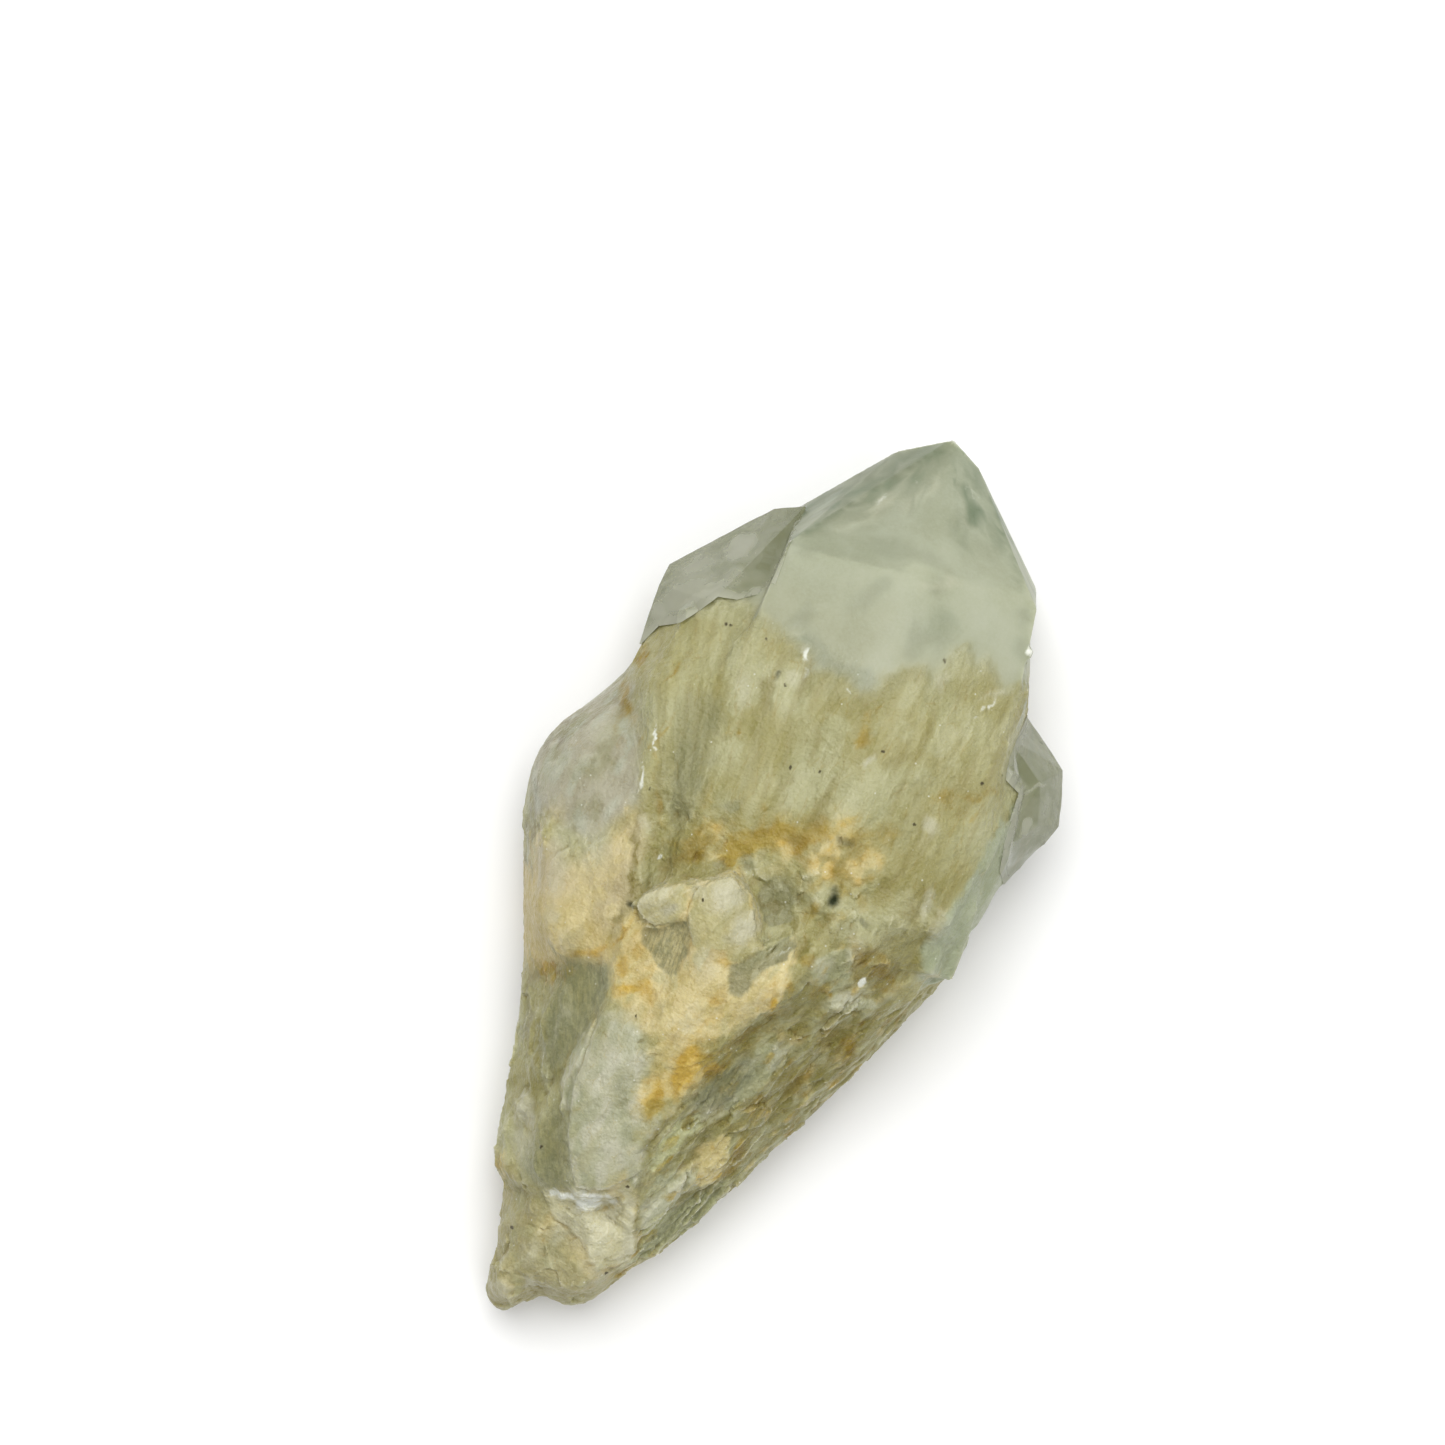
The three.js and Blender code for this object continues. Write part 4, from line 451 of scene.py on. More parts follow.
CREAM_PATCHES = [
    (-0.6, -20, 2, 3.6, -7, 0.9), (-21.5, -3, 1.2, 2, 0, 0.4), (-7, 2, 1, 1.6, 60, 0.6),
    (-2, -22, 1, 2, -30, 0.8), (-21.6, -6.1, 1.1, 1.7, 25, 0.5), (-15.5, -8.8, 1.7, 3.1, -55, 0.6),
    (-12.3, -8.9, 1.7, 1.7, 25, 0.6), (-14.6, -2.8, 1.4, 2.5, 20, 0.5), (-16.3, -15, 1.1, 1.4, 25, 0.5),
    (-15, 0, 0.8, 1.7, 15, 0.5), (-8.2, -7.3, 1.1, 2.5, -45, 0.5), (-6.5, -10.8, 1.7, 2.5, 25, 0.5),
    (-2.1, -13, 3.2, 4.8, -15, 0.6), (0.7, -10.4, 2.4, 3.6, -25, 0.7), (3.8, -8.7, 1.2, 2.4, -37, 0.7),
    (-2.2, -17.4, 2, 3.2, -5, 0.7), (-2.6, -21.1, 1.2, 2.4, 5, 0.6), (6.2, -27.1, 1.3, 2, 5, 0.95),
    (2.2, 3.2, 1.2, 1.6, 25, 0.8), (3, 5.1, 1.6, 1.6, 25, 0.6), (6, 4.3, 1.2, 1.7, 25, 0.7),
    (6.6, 6.8, 1.4, 1.7, 25, 0.4), (-9.7, -12.6, 1.6, 2.4, 5, 0.5), (-13.7, -13.2, 1, 2.4, -55, 0.4),
    (5.2, -25.7, 1.1, 1.3, -15, 0.7), (-2.1, -36.8, 1.8, 2.2, 25, 0.4), (-12.2, -35, 0.7, 1.5, 45, 0.6),
    (4, -28.3, 0.7, 1.5, -25, 0.4), (3.5, 7.2, 2.4, 2.4, 25, 0.5), (2.4, 4.7, 1.2, 2.4, -35, 0.4),
    (-3.1, -15.5, 1.7, 3.1, -35, 0.8), (-1.2, -11.6, 1.7, 3.4, -5, 0.7), (-2.9, -18.5, 1.4, 2.5, 0, 0.7),
    (-2.8, -22.8, 1.4, 2.2, 10, 0.7), (2.3, -11.1, 1.4, 2.5, -15, 0.5), (-16.1, -7.4, 2.8, 4.2, 20, 0.5),
    (-14.7, -5.2, 1.7, 3.1, 15, 0.5), (-15.9, -11.3, 1.7, 3.1, -35, 0.6), (-0.6, 3.2, 1.3, 1.4, 5, 0.6),
    (2.1, 2.9, 1, 1, 25, 0.9), (4, 3.3, 0.8, 1, 25, 0.8), (7, 5.5, 1.4, 1.7, 5, 0.7),
    (1.7, 5.5, 1.1, 1.7, -45, 0.4), (-6.4, -0.2, 0.8, 1.4, -35, 0.4), (-0.6, 1.3, 0.8, 1.7, -45, 0.4),
    (5.7, -26.5, 1.3, 2.1, 5, 0.95), (5.2, -26.5, 1.4, 2, 5, 0.5), (14.3, -4.6, 0.5, 1.4, -35, 0.5),
    (0.2, -23.2, 1.1, 1.7, 5, 0.4), (-4.7, -34.5, 0.6, 2.5, -65, 0.5), (-2.6, -37.5, 1.7, 2.2, 35, 0.6),
    (0.2, -36.2, 1.3, 3.1, 15, 0.5), (-12, -36.7, 0.6, 1.7, 45, 0.5), (-7, -46, 1.1, 1.2, 25, 0.5),
    (-10.7, -36.1, 0.6, 3.4, 20, 0.4), (-2.1, -16.3, 2.5, 2.5, -15, 0.4),
]

# The slender crystals fan out: how far they lean, by where they cross a level line.
FAN_LEVEL = 20
FAN_ACROSS = [-24, -17, -11, 0, 14, 19]
FAN_LEAN = [0.5, 0.34, 0.1, 0, -0.03, -0.1]
FAN_STEPS = 6
LEAN = 24  # degrees that the splinters of the right flank lean to the right

WORN_PLATES = [LONG_PLATE, WINDOWS[1], WINDOWS[2], LEFT_CRYSTAL, LEFT_CREAM]
RAISED_FLASHES = FLASHES[:2]


# Choosing, copying and applying

def only(piece):
    """Selects this piece alone and makes it the one that operators work on."""
    bpy.ops.object.select_all(action="DESELECT")
    piece.select_set(True)
    bpy.context.view_layer.objects.active = piece


def apply_modifier(piece, kind, **settings):
    """Adds one modifier with these settings and applies it."""
    only(piece)
    modifier = piece.modifiers.new(kind, kind)
    for key, value in settings.items():
        setattr(modifier, key, value)
    bpy.ops.object.modifier_apply(modifier=modifier.name)


def stone_copy(name):
    """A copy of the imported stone, its loose triangles merged into one skin."""
    piece = bpy.data.objects.new(name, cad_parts[STONE].data.copy())
    bpy.context.scene.collection.objects.link(piece)
    piece.data.materials.clear()
    only(piece)
    bpy.ops.object.mode_set(mode="EDIT")
    bpy.ops.mesh.select_all(action="SELECT")
    bpy.ops.mesh.remove_doubles(threshold=WELD)
    bpy.ops.object.mode_set(mode="OBJECT")
    bpy.ops.mesh.customdata_custom_splitnormals_clear()
    return piece


def upright_block(outline, shift=(0, 0)):
    """A block with this outline, from below the stone to above it, to cut with."""
    bpy.ops.object.select_all(action="DESELECT")
    bpy.ops.mesh.primitive_circle_add(vertices=len(outline), radius=MM, fill_type="NGON")
    block = bpy.context.object
    for vertex, (x, y) in zip(block.data.vertices, outline):
        vertex.co = ((x + shift[0]) * MM, (y + shift[1]) * MM, CUT_LOW * MM)
    bpy.ops.object.mode_set(mode="EDIT")
    bpy.ops.mesh.select_all(action="SELECT")
    rise = (0, 0, (CUT_HIGH - CUT_LOW) * MM)
    bpy.ops.mesh.extrude_region_move(TRANSFORM_OT_translate={"value": rise})
    bpy.ops.mesh.select_all(action="SELECT")
    bpy.ops.mesh.normals_make_consistent(inside=False)
    bpy.ops.object.mode_set(mode="OBJECT")
    return block


def cut(piece, block, operation):
    """Cuts a piece with a block, or to it, and throws the block away."""
    apply_modifier(piece, "BOOLEAN", object=block, operation=operation, solver="EXACT")
    bpy.data.objects.remove(block)


def threes(items, label):
    """Three numbers of every item of a mesh, one row each."""
    found = np.empty(len(items) * 3, np.float32)
    items.foreach_get(label, found)
    return found.reshape(-1, 3).astype(float)


def positions(piece):
    """The corners of a mesh, in millimetres."""
    return threes(piece.data.vertices, "co") / MM


def normals(piece):
    """Which way the surface faces at every corner."""
    return threes(piece.data.vertex_normals, "vector")


def place(piece, points):
    """Moves the corners of a mesh to these points."""
    piece.data.vertices.foreach_set("co", (points * MM).astype(np.float32).ravel())
    piece.data.update()


def keep_value(piece, name, values):
    """Stores one number a corner, for the materials to read."""
    attribute = piece.data.attributes.new(name, "FLOAT", "POINT")
    attribute.data.foreach_set("value", values.astype(np.float32))


def keep_colour(piece, name, colours):
    """Stores one colour a corner, for the materials to read."""
    attribute = piece.data.attributes.new(name, "FLOAT_COLOR", "POINT")
    rgba = np.ones((len(colours), 4), np.float32)
    rgba[:, :3] = colours
    attribute.data.foreach_set("color", rgba.ravel())


def shade(piece, degrees):
    """Smooth shading, but crisp over edges sharper than this."""
    only(piece)
    bpy.ops.object.shade_smooth_by_angle(angle=math.radians(degrees))


# Masks and patterns over the surface

SEED_APART = 17.3  # how far one seed's noise lies from the next one's
SPOT_CORE, SPOT_RIM = 0.35, 1.3  # where a patch is full and gone, as shares of its half width or length


def smooth_step(values, low, high):
    """0 up to the low value, 1 from the high one, and smooth between."""
    share = np.clip((values - low) / (high - low), 0, 1)
    return share * share * (3 - 2 * share)


def clouds(points, size, seed):
    """Soft noise from about -1 to 1, in lumps of about this size."""
    stretch = np.broadcast_to(np.asarray(size, float), (3,))
    rows = (points / stretch + seed * SEED_APART).tolist()
    return np.array([noise.noise(Vector(row)) for row in rows])


def spot(points, x, y, wide, long, turn):
    """1 in the core of a round or long patch, fading to 0 at its rim."""
    angle = math.radians(turn)
    across, along = points[:, 0] - x, points[:, 1] - y
    right = across * math.cos(angle) + along * math.sin(angle)
    up = along * math.cos(angle) - across * math.sin(angle)
    return 1 - smooth_step(np.hypot(right / wide, up / long), SPOT_CORE, SPOT_RIM)


def most_of(points, rows, spread=1):
    """The strongest of several patches at each point."""
    strongest = np.zeros(len(points))
    for x, y, wide, long, turn, strength in rows:
        patch = spot(points, x, y, wide * spread, long * spread, turn)
        strongest = np.maximum(strongest, strength * patch)
    return strongest


def zone(points, outline, soft):
    """1 inside an outline, 0 outside, soft over this width."""
    corners = np.array(outline, float)
    inside = np.zeros(len(points), bool)
    distance = np.full(len(points), 1e9)
    for start, end in zip(corners, np.roll(corners, -1, axis=0)):
        edge = end - start
        offset = points[:, :2] - start
        share = np.clip(offset @ edge / (edge @ edge), 0, 1)
        distance = np.minimum(distance, np.linalg.norm(offset - share[:, None] * edge, axis=1))
        between = (start[1] > points[:, 1]) != (end[1] > points[:, 1])
        crossing = start[0] + (points[:, 1] - start[1]) / (end[1] - start[1] + 1e-12) * edge[0]
        inside ^= between & (points[:, 0] < crossing)
    return smooth_step(np.where(inside, distance, -distance), -soft / 2, soft / 2)


def any_zone(points, outlines, soft):
    """1 inside any of several outlines."""
    return np.max([zone(points, outline, soft) for outline in outlines], axis=0)


def upper_part(points):
    """Where the main crystal's clean upper faces are."""
    return zone(points, UPPER_FACES, 1.5) * smooth_step(points[:, 1], 18, 24)


def fan(points):
    """Which slender crystal a point lies on: its place across the bundle, followed to a level line."""
    across = points[:, 0].copy()
    for _ in range(FAN_STEPS):
        lean = np.interp(across, FAN_ACROSS, FAN_LEAN)
        across = points[:, 0] + (points[:, 1] - FAN_LEVEL) * lean
    return across


def wandering(points, size, reach, seed):
    """The points, each carried a little way by noise, so that a patch read there has a ragged edge."""
    shift = np.stack([clouds(points, size, seed + step) for step in (0, 5, 9)], axis=1)
    return points + reach * shift


def turned(points, degrees):
    """The points seen in a frame whose long direction leans this far to the right of +Y."""
    angle = math.radians(degrees)
    across = points[:, 0] * math.cos(angle) - points[:, 1] * math.sin(angle)
    along = points[:, 0] * math.sin(angle) + points[:, 1] * math.cos(angle)
    return np.stack([across, along, points[:, 2]], axis=1)


def neighbours(piece):
    """Every edge of a mesh both ways round, as pairs of corners."""
    edges = np.empty(len(piece.data.edges) * 2, np.int32)
    piece.data.edges.foreach_get("vertices", edges)
    edges = edges.reshape(-1, 2)
    return np.concatenate([edges, edges[:, ::-1]])


def smoothed(ends, points, times, share=1.0):
    """The points after each has moved by its share to the middle of its neighbours, over and over."""
    size = len(points)
    count = np.maximum(np.bincount(ends[:, 0], minlength=size), 1)[:, None]
    share = np.broadcast_to(share, size)[:, None]
    for _ in range(times):
        total = np.stack([np.bincount(ends[:, 0], weights=points[ends[:, 1], axis], minlength=size)
                          for axis in range(3)], axis=1)
        points = points + share * (total / count - points)
    return points


def facets(points, size, seed, tilt=0.8):
    """Broken facets: a level and a slope for every cell of a jumbled grid, from about -1 to 1."""
    dice = np.random.default_rng(seed)
    strayed = wandering(points, np.max(size) * 0.7, np.min(size) * 0.25, seed + 60)
    scaled = strayed / np.asarray(size, float)
    low, high = np.floor(scaled.min(0)) - 1, np.ceil(scaled.max(0)) + 1
    sides = [np.arange(start, end) for start, end in zip(low, high)]
    grid = np.stack(np.meshgrid(*sides, indexing="ij"), -1).reshape(-1, 3)
    seeds = grid + dice.random(grid.shape)
    level = dice.uniform(-0.5, 0.5, len(seeds))
    slope = dice.normal(0, tilt, (len(seeds), 3))
    tree = kdtree.KDTree(len(seeds))
    for index, seed_at in enumerate(seeds.tolist()):
        tree.insert(seed_at, index)
    tree.balance()
    nearest = np.array([tree.find(row)[1] for row in scaled.tolist()])
    return level[nearest] + np.einsum("ij,ij->i", slope[nearest], scaled - seeds[nearest])


# The relief of the milky stone

CELL = 0.27  # millimetres between corners of the even mesh that the relief is drawn on
MOST_TRIANGLES = 190000
REST_BAND = 0.35  # the rest face, up to here, keeps its place
STONE_CREASE = 40  # degrees: sharper edges stay sharp
EDGE_REACH = 20.5  # the main crystal's crisp edges lie above this
EDGE_LEFT = -13.5  # and to the right of this
EDGE_ANGLE = math.radians(55)
EDGE_STEP = 0.1
EDGE_SNAP = 0.17  # corners of the mesh this near to an edge move onto it


def milky_stone():
    """The stone but for its clear crystals: made an even mesh, worn smooth, then broken again."""
    piece = stone_copy("milky_stone")
    cut(piece, upright_block(LEFT_CLEAR), "DIFFERENCE")
    cut(piece, upright_block(RIGHT_CLEAR), "DIFFERENCE")
    apply_modifier(piece, "REMESH", mode="VOXEL", voxel_size=CELL * MM, adaptivity=0)
    points, crisp = snap_to_edges(positions(piece))
    place(piece, points)
    facing = normals(piece)
    look = looks_of(points, facing)
    points = worn(neighbours(piece), points, facing, look, crisp)
    height = relief(points, look)
    place(piece, points)
    place(piece, points + normals(piece) * height[:, None])
    thin_out(piece)
    paint_stone(piece)
    shade(piece, STONE_CREASE)
    return piece


def crystal_edges():
    """Points along the crisp edges of the main crystal's faces."""
    shell = bmesh.new()
    shell.from_mesh(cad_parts[STONE].data)
    bmesh.ops.remove_doubles(shell, verts=shell.verts, dist=WELD)
    found = []
    for edge in shell.edges:
        start, end = (vertex.co / MM for vertex in edge.verts)
        if len(edge.link_faces) != 2 or min(start.y, end.y) < EDGE_REACH:
            continue
        if edge.calc_face_angle(0) > EDGE_ANGLE and min(start.x, end.x) > EDGE_LEFT:
            steps = max(2, int((end - start).length / EDGE_STEP))
            found += [start.lerp(end, step / steps) for step in range(steps + 1)]
    shell.free()
    return found


def snap_to_edges(points):
    """Moves the points next to the main crystal's edges onto them, and says which have moved."""
    found = crystal_edges()
    tree = kdtree.KDTree(len(found))
    for index, along in enumerate(found):
        tree.insert(along, index)
    tree.balance()
    moved = np.zeros(len(points), bool)
    for index in np.flatnonzero(points[:, 1] > EDGE_REACH):
        target, _, distance = tree.find(points[index])
        if distance < EDGE_SNAP:
            points[index], moved[index] = target, True
    return points, moved


def looks_of(points, facing):
    """Where the broad forms lie, as masks from 0 to 1."""
    look = SimpleNamespace()
    look.seen = smooth_step(facing[:, 2], -0.1, 0.25)
    look.free = smooth_step(points[:, 2], REST_BAND / 2, 3 * REST_BAND)
    look.upper = upper_part(points)
    look.left = zone(points, LEFT_CRYSTAL, 2)
    look.slab = zone(points, GREEN_SLAB, 2)
    look.bundle = smooth_step(points[:, 1], 1, 6) * (1 - look.upper) * (1 - look.left)
    look.flank = zone(points, RIGHT_FLANK, 3)
    look.sheet = zone(points, CREAM_SHEET, 1)
    look.plate = any_zone(points, WORN_PLATES, 3)
    return look


def worn(ends, points, facing, look, crisp):
    """The points worn smooth: the broken ground most, the crystal faces only on their own level."""
    give = look.free * np.clip(1 - 0.97 * look.upper - 0.7 * look.slab, 0, 1)
    smoothest = np.maximum.reduce([look.sheet, 0.5 * look.flank, 0.9 * look.plate])
    faces = look.free * look.upper * (facing[:, 2] > 0.4) * ~crisp
    rounds = [
        (14, give),
        (50, give * look.bundle * look.seen),
        (120, give * smoothest),
        (2, 0.5 * look.free * (1 - look.upper)),
        (110, faces),
    ]
    for times, share in rounds:
        points = smoothed(ends, points, times, share)
    return points


def relief(points, look):
    """All the fine relief, as heights in millimetres."""
    rough = look.free * (1 - np.clip(look.upper + 0.7 * look.slab, 0, 1))
    height = (broken_facets(points, look) + drawn_forms(points, look)) * rough
    return height + 0.02 * clouds(points, 3, 6) * look.upper * look.free


def broken_facets(points, look):
    """Slender facets on the bundle, splinters on the flank and crumbs on the rest."""
    lanes = np.stack([fan(points), points[:, 1], points[:, 2]], axis=1)
    leaning = turned(points, LEAN)
    slender = facets(lanes, (1.5, 7, 2.5), 1, 0.5) + 0.5 * facets(lanes, (0.8, 3, 1.2), 2)
    splinters = facets(leaning, (1.5, 4.5, 2), 3) + 0.6 * facets(leaning, (0.8, 2, 1), 4)
    crumbs = facets(points, (2.2, 2.8, 2.2), 5) + 0.6 * facets(points, (1, 1.2, 1), 6)
    flakes = facets(leaning, (0.8, 1.6, 1), 8)
    calm = (1 - 0.5 * look.left) * (1 - 0.5 * look.sheet) * (1 - 0.7 * look.plate)
    loose = (1 - look.bundle) * (1 - look.flank) * calm
    grain = 0.06 * clouds(points, 0.8, 5) + 0.04 * clouds(leaning, (0.4, 1.2, 0.5), 9)
    height = 0.09 * look.bundle * slender + 0.19 * look.flank * splinters + 0.15 * loose * crumbs
    return height + 0.05 * look.sheet * flakes + grain


def drawn_forms(points, look):
    """The lips of the sheet, the plates and the raised and sunken patches, where they are drawn."""
    near_by = wandering(points, 1, 0.3, 14)
    strayed = wandering(points, 0.8, 0.12, 22)
    lip = zone(wandering(points, 1.2, 0.25, 7), CREAM_SHEET, 0.5) - any_zone(strayed, WINDOWS, 0.4)
    plates = np.sum([lift * zone(near_by, outline, 0.5) for _, lift, outline in PLATES], axis=0)
    patches = np.zeros(len(points))
    for lift, rows in PATCH_LIFTS:
        patches += lift * most_of(near_by, rows)
    height = 0.22 * lip * smooth_step(points[:, 1], -14, -9) + plates
    height += patches * (1 - 0.6 * look.bundle) + 0.3 * zone(near_by, LONG_PLATE, 0.8)
    return height * look.seen + 0.4 * most_of(near_by, RAISED_FLASHES)


PATCH_LIFTS = [
    (0.2, PALE_PATCHES + WHITE_PATCHES),
    (0.12, CREAM_PATCHES),
    (-0.22, DEEP_PATCHES + OLIVE_PATCHES),
    (-0.2, GREY_PATCHES),
]


def thin_out(piece):
    """Fewer triangles, most of them where the stone is rough."""
    triangles = sum(len(face.vertices) - 2 for face in piece.data.polygons)
    share = min(1, MOST_TRIANGLES / triangles)
    apply_modifier(piece, "DECIMATE", decimate_type="COLLAPSE", ratio=share)


# The colours of the milky stone

MARK_SHARE = 0.5  # how much of a mark is soft and in the ground
PLATE_SHOWS = 0.75
WHITE_SHOWS = 0.8
CREVICE_ROUNDS = 8  # a crevice is where the stone lies below itself smoothed this often
CREVICE_GAIN = 3

# Blotches: colour, size in millimetres, seed, where they start and are full, strength.
LEFT_BLOTCHES = [
    (GREY_FACE, (2, 3, 2), 35, 0.05, 0.4, 0.55),
    (MILKY_PALE, (1.6, 2.6, 2), 36, 0.05, 0.4, 0.6),
]
PLATE_BLOTCHES = [
    (WARM_WHITE, (1.4, 2.6, 2), 45, 0.02, 0.35, 0.8),
    (KHAKI, (1.2, 3, 2), 46, 0.08, 0.4, 0.5),
]
SHEET_BLOTCHES = [
    (CREAM, 3, 15, -0.35, 0.2, 1),
    (KHAKI_PALE, (1, 1.8, 1), 38, 0.1, 0.4, 0.5),
    (CREAM_DEEP, 0.8, 39, 0.15, 0.4, 0.5),
]
SPLINTER_BLOTCHES = [
    (KHAKI_PALE, (1.1, 2.2, 1.5), 19, 0, 0.3, 0.75),
    (GREY_FACE, (1.3, 2.6, 1.6), 26, 0.15, 0.45, 0.6),
]
FLANK_BLOTCHES = [
    (KHAKI_DEEP, 1.1, 40, 0.15, 0.45, 0.5),
    (CREAM_DEEP, 1.3, 41, 0.25, 0.5, 0.45),
]
LOWER_BLOTCHES = [(KHAKI_PALE, (1, 2, 2), 27, 0, 0.4, 0.5)]
TIP_BLOTCHES = [
    (MILKY_PALE, 4.5, 28, 0.05, 0.5, 0.3),
    (TIP_GREY_AND_PAINTED_SHADE, 3, 29, 0.15, 0.5, 0.35),
]


def blotches(points, mask, rows):
    """Looks that lie in blotches over the part of the stone where the mask is."""
    return [(colour, mask * smooth_step(clouds(points, size, seed), start, full) * strength)
            for colour, size, seed, start, full, strength in rows]


def blend_in(ground, colour, mask):
    """The colours with another one laid over them where the mask is."""
    return ground + (np.array(colour) - ground) * np.clip(mask, 0, 1)[:, None]


def painting_places(points, facing, across):
    """The points as the looks read them, ragged and more so on steep sides, and the parts' masks."""
    at = SimpleNamespace(plain=points, x=points[:, 0], y=points[:, 1])
    steep = 1 - smooth_step(facing[:, 2], 0.15, 0.45)
    stray = steep[:, None] * (wandering(points, (7, 7, 4.5), 6, 47) - points)
    at.patchy = clouds(points, 5, 11)
    at.ragged = wandering(points, 2.2, 1.1, 12) + stray
    at.finer = wandering(points, 0.7, 0.3, 43) + stray
    at.fine = wandering(at.finer, 1.4, 0.6, 14)
    at.leaning = turned(points, LEAN)
    at.lanes = clouds(np.stack([across, at.y * 0.15, 0 * across], axis=1), 0.9, 13)
    at.bundle = smooth_step(at.y, 0, 4)
    at.upper = zone(wandering(points, 1, 0.25, 16) + stray, UPPER_FACES, 2.2)
    at.flank = zone(at.ragged, RIGHT_FLANK, 2.5)
    at.left = zone(at.ragged, LEFT_CRYSTAL, 2)
    at.plate = zone(at.fine, LONG_PLATE, 1.6)
    at.sheet = zone(at.fine, CREAM_SHEET, 0.7) * smooth_step(at.y + clouds(points, 2, 37) * 4, -20, -14)
    return at


def bundle_looks(at):
    """Khaki, in streaks along the slender crystals."""
    return [
        (KHAKI_PALE, smooth_step(at.patchy, -0.1, 0.5)),
        (OLIVE, 0.5 * smooth_step(-at.patchy, 0.1, 0.6) * (at.y < 5)),
        (KHAKI_DEEP, at.bundle * smooth_step(at.lanes, 0.05, 0.5) * 0.35),
        (KHAKI_PALE, at.bundle * smooth_step(-at.lanes, 0.05, 0.5) * 0.4),
        (GREY_FACE, zone(at.fine, GREY_BUNDLE_FACE, 1.6) * 0.5),
    ]


def left_looks(at):
    """The rounded grey crystal at the far left."""
    return [(WARM_GREY, at.left)] + blotches(at.plain, at.left, LEFT_BLOTCHES)


def side_looks(at):
    """The pale green slab, and the olive flank below it."""
    return [
        (SLAB_GREEN, zone(at.fine, GREEN_SLAB, 1)),
        (OLIVE, at.flank * 0.6),
    ]


def plate_looks(at):
    """The long pale plate at the lower left."""
    return [(PALE_STONE, at.plate)] + blotches(at.ragged, at.plate, PLATE_BLOTCHES)


def left_cream_looks(at):
    """The cream ground on the left, and the lowest end."""
    return [
        (LOWER_END, smooth_step(-at.ragged[:, 1], 35, 38)),
        (LEFT_PALE, zone(at.ragged, LEFT_CREAM, 3)),
        (CREAM_DEEP, zone(at.ragged, LEFT_CREAM, 2) * smooth_step(-at.y + 3 * at.patchy, 7, 12)),
    ]


def sheet_looks(at):
    """The broken cream sheet in the middle."""
    return [(CREAM_DEEP, at.sheet)] + blotches(at.plain, at.sheet, SHEET_BLOTCHES)


def pale_end_looks(at):
    """The pale broken end and its block."""
    return [
        (CREAM, zone(at.ragged, LOWER_END_PALE, 1) * 0.75),
        (PALE_STONE, zone(at.fine, PALE_BLOCK, 0.5)),
    ]


def flank_looks(at):
    """Splinters in several shades on the right flank, and streaks beside it."""
    below = smooth_step(-at.y, 14, 20) * (1 - at.flank)
    return (blotches(at.leaning, at.flank, SPLINTER_BLOTCHES) + blotches(at.plain, at.flank, FLANK_BLOTCHES)
            + blotches(at.plain, below, LOWER_BLOTCHES))


def tip_looks(at):
    """The milky main crystal with its green-grey point and painted shade on its upper and steep faces, and
    the brown rim at the far left.
    """
    around = zone(wandering(at.plain, 2.5, 0.8, 18), UPPER_FACES, 6)
    faces = zone(wandering(at.plain, 1, 0.1, 17), TIP_FACES, 0.3)
    return [
        (MILKY_WARM, np.maximum(at.upper, 0.55 * around)),
        (MILKY, at.upper * smooth_step(at.y + 2 * at.patchy, 23, 30)),
        (CANDLE_SHADE, most_of(at.fine, CANDLE_TOPS) * (0.85 - 0.35 * at.upper)),
        # Painted shade on the tip's upper faces above the shoulder, stronger to the left.
        (TIP_GREY_AND_PAINTED_SHADE, faces * (0.22 + 0.25 * smooth_step(-at.x, -2, 6))),
    ] + blotches(at.plain, at.upper, TIP_BLOTCHES) + [
        (TIP_GREEN, at.upper * smooth_step(at.y + 3 * at.patchy, 37, 45) * 0.5),
        # Painted shade on the steep face, mottled.
        (STEEP_FACE_PAINTED_SHADE, zone(at.fine, STEEP_FACE, 3) * (0.7 + 0.6 * clouds(at.plain, 0.8, 42))),
        (TIP_DARK, most_of(at.fine, GREEN_PATCHES) * at.upper * (0.75 + 0.6 * clouds(at.plain, 0.9, 34))),
        (RIM, most_of(at.ragged, RIM_PATCHES)),
    ]


def marks_on(at):
    """Marks on the ground, with crisper edges: their colour and where they lie."""
    below = 1 - at.upper
    plates = [(colour, PLATE_SHOWS * zone(at.finer, outline, 0.6)) for colour, _, outline in PLATES]
    return [
        (OLIVE, most_of(at.fine, OLIVE_PATCHES) * below * (1 - 0.6 * at.bundle)),
        (GREY_FACE, most_of(at.fine, GREY_PATCHES)),
        (CREAM, most_of(at.fine, CREAM_PATCHES)),
        (KHAKI_DEEP, most_of(at.fine, DEEP_PATCHES) * below * (1 - 0.5 * at.bundle)),
        (KHAKI_PALE, most_of(at.fine, PALE_PATCHES) * below),
    ] + plates


LOOKS = [bundle_looks, left_looks, side_looks, plate_looks, left_cream_looks, sheet_looks, pale_end_looks,
         flank_looks, tip_looks]  # each one lies over those before it


def ground_colour(at):
    """The stone's colour before stains, with painted shade on the tip's upper and steep faces, the colour
    of the marks on it, and how far they cover it.
    """
    ground = np.tile(np.array(KHAKI), (len(at.plain), 1))
    for looks in LOOKS:
        for colour, mask in looks(at):
            ground = blend_in(ground, colour, mask)
    mark, cover = ground, np.zeros(len(at.plain))
    for colour, mask in marks_on(at):
        mark = blend_in(mark, colour, 2 * mask)
        ground = blend_in(ground, colour, MARK_SHARE * mask)
        cover = np.maximum(cover, mask)
    white = most_of(at.fine, WHITE_PATCHES)
    return blend_in(ground, WARM_WHITE, WHITE_SHOWS * white), blend_in(mark, WARM_WHITE, white), cover


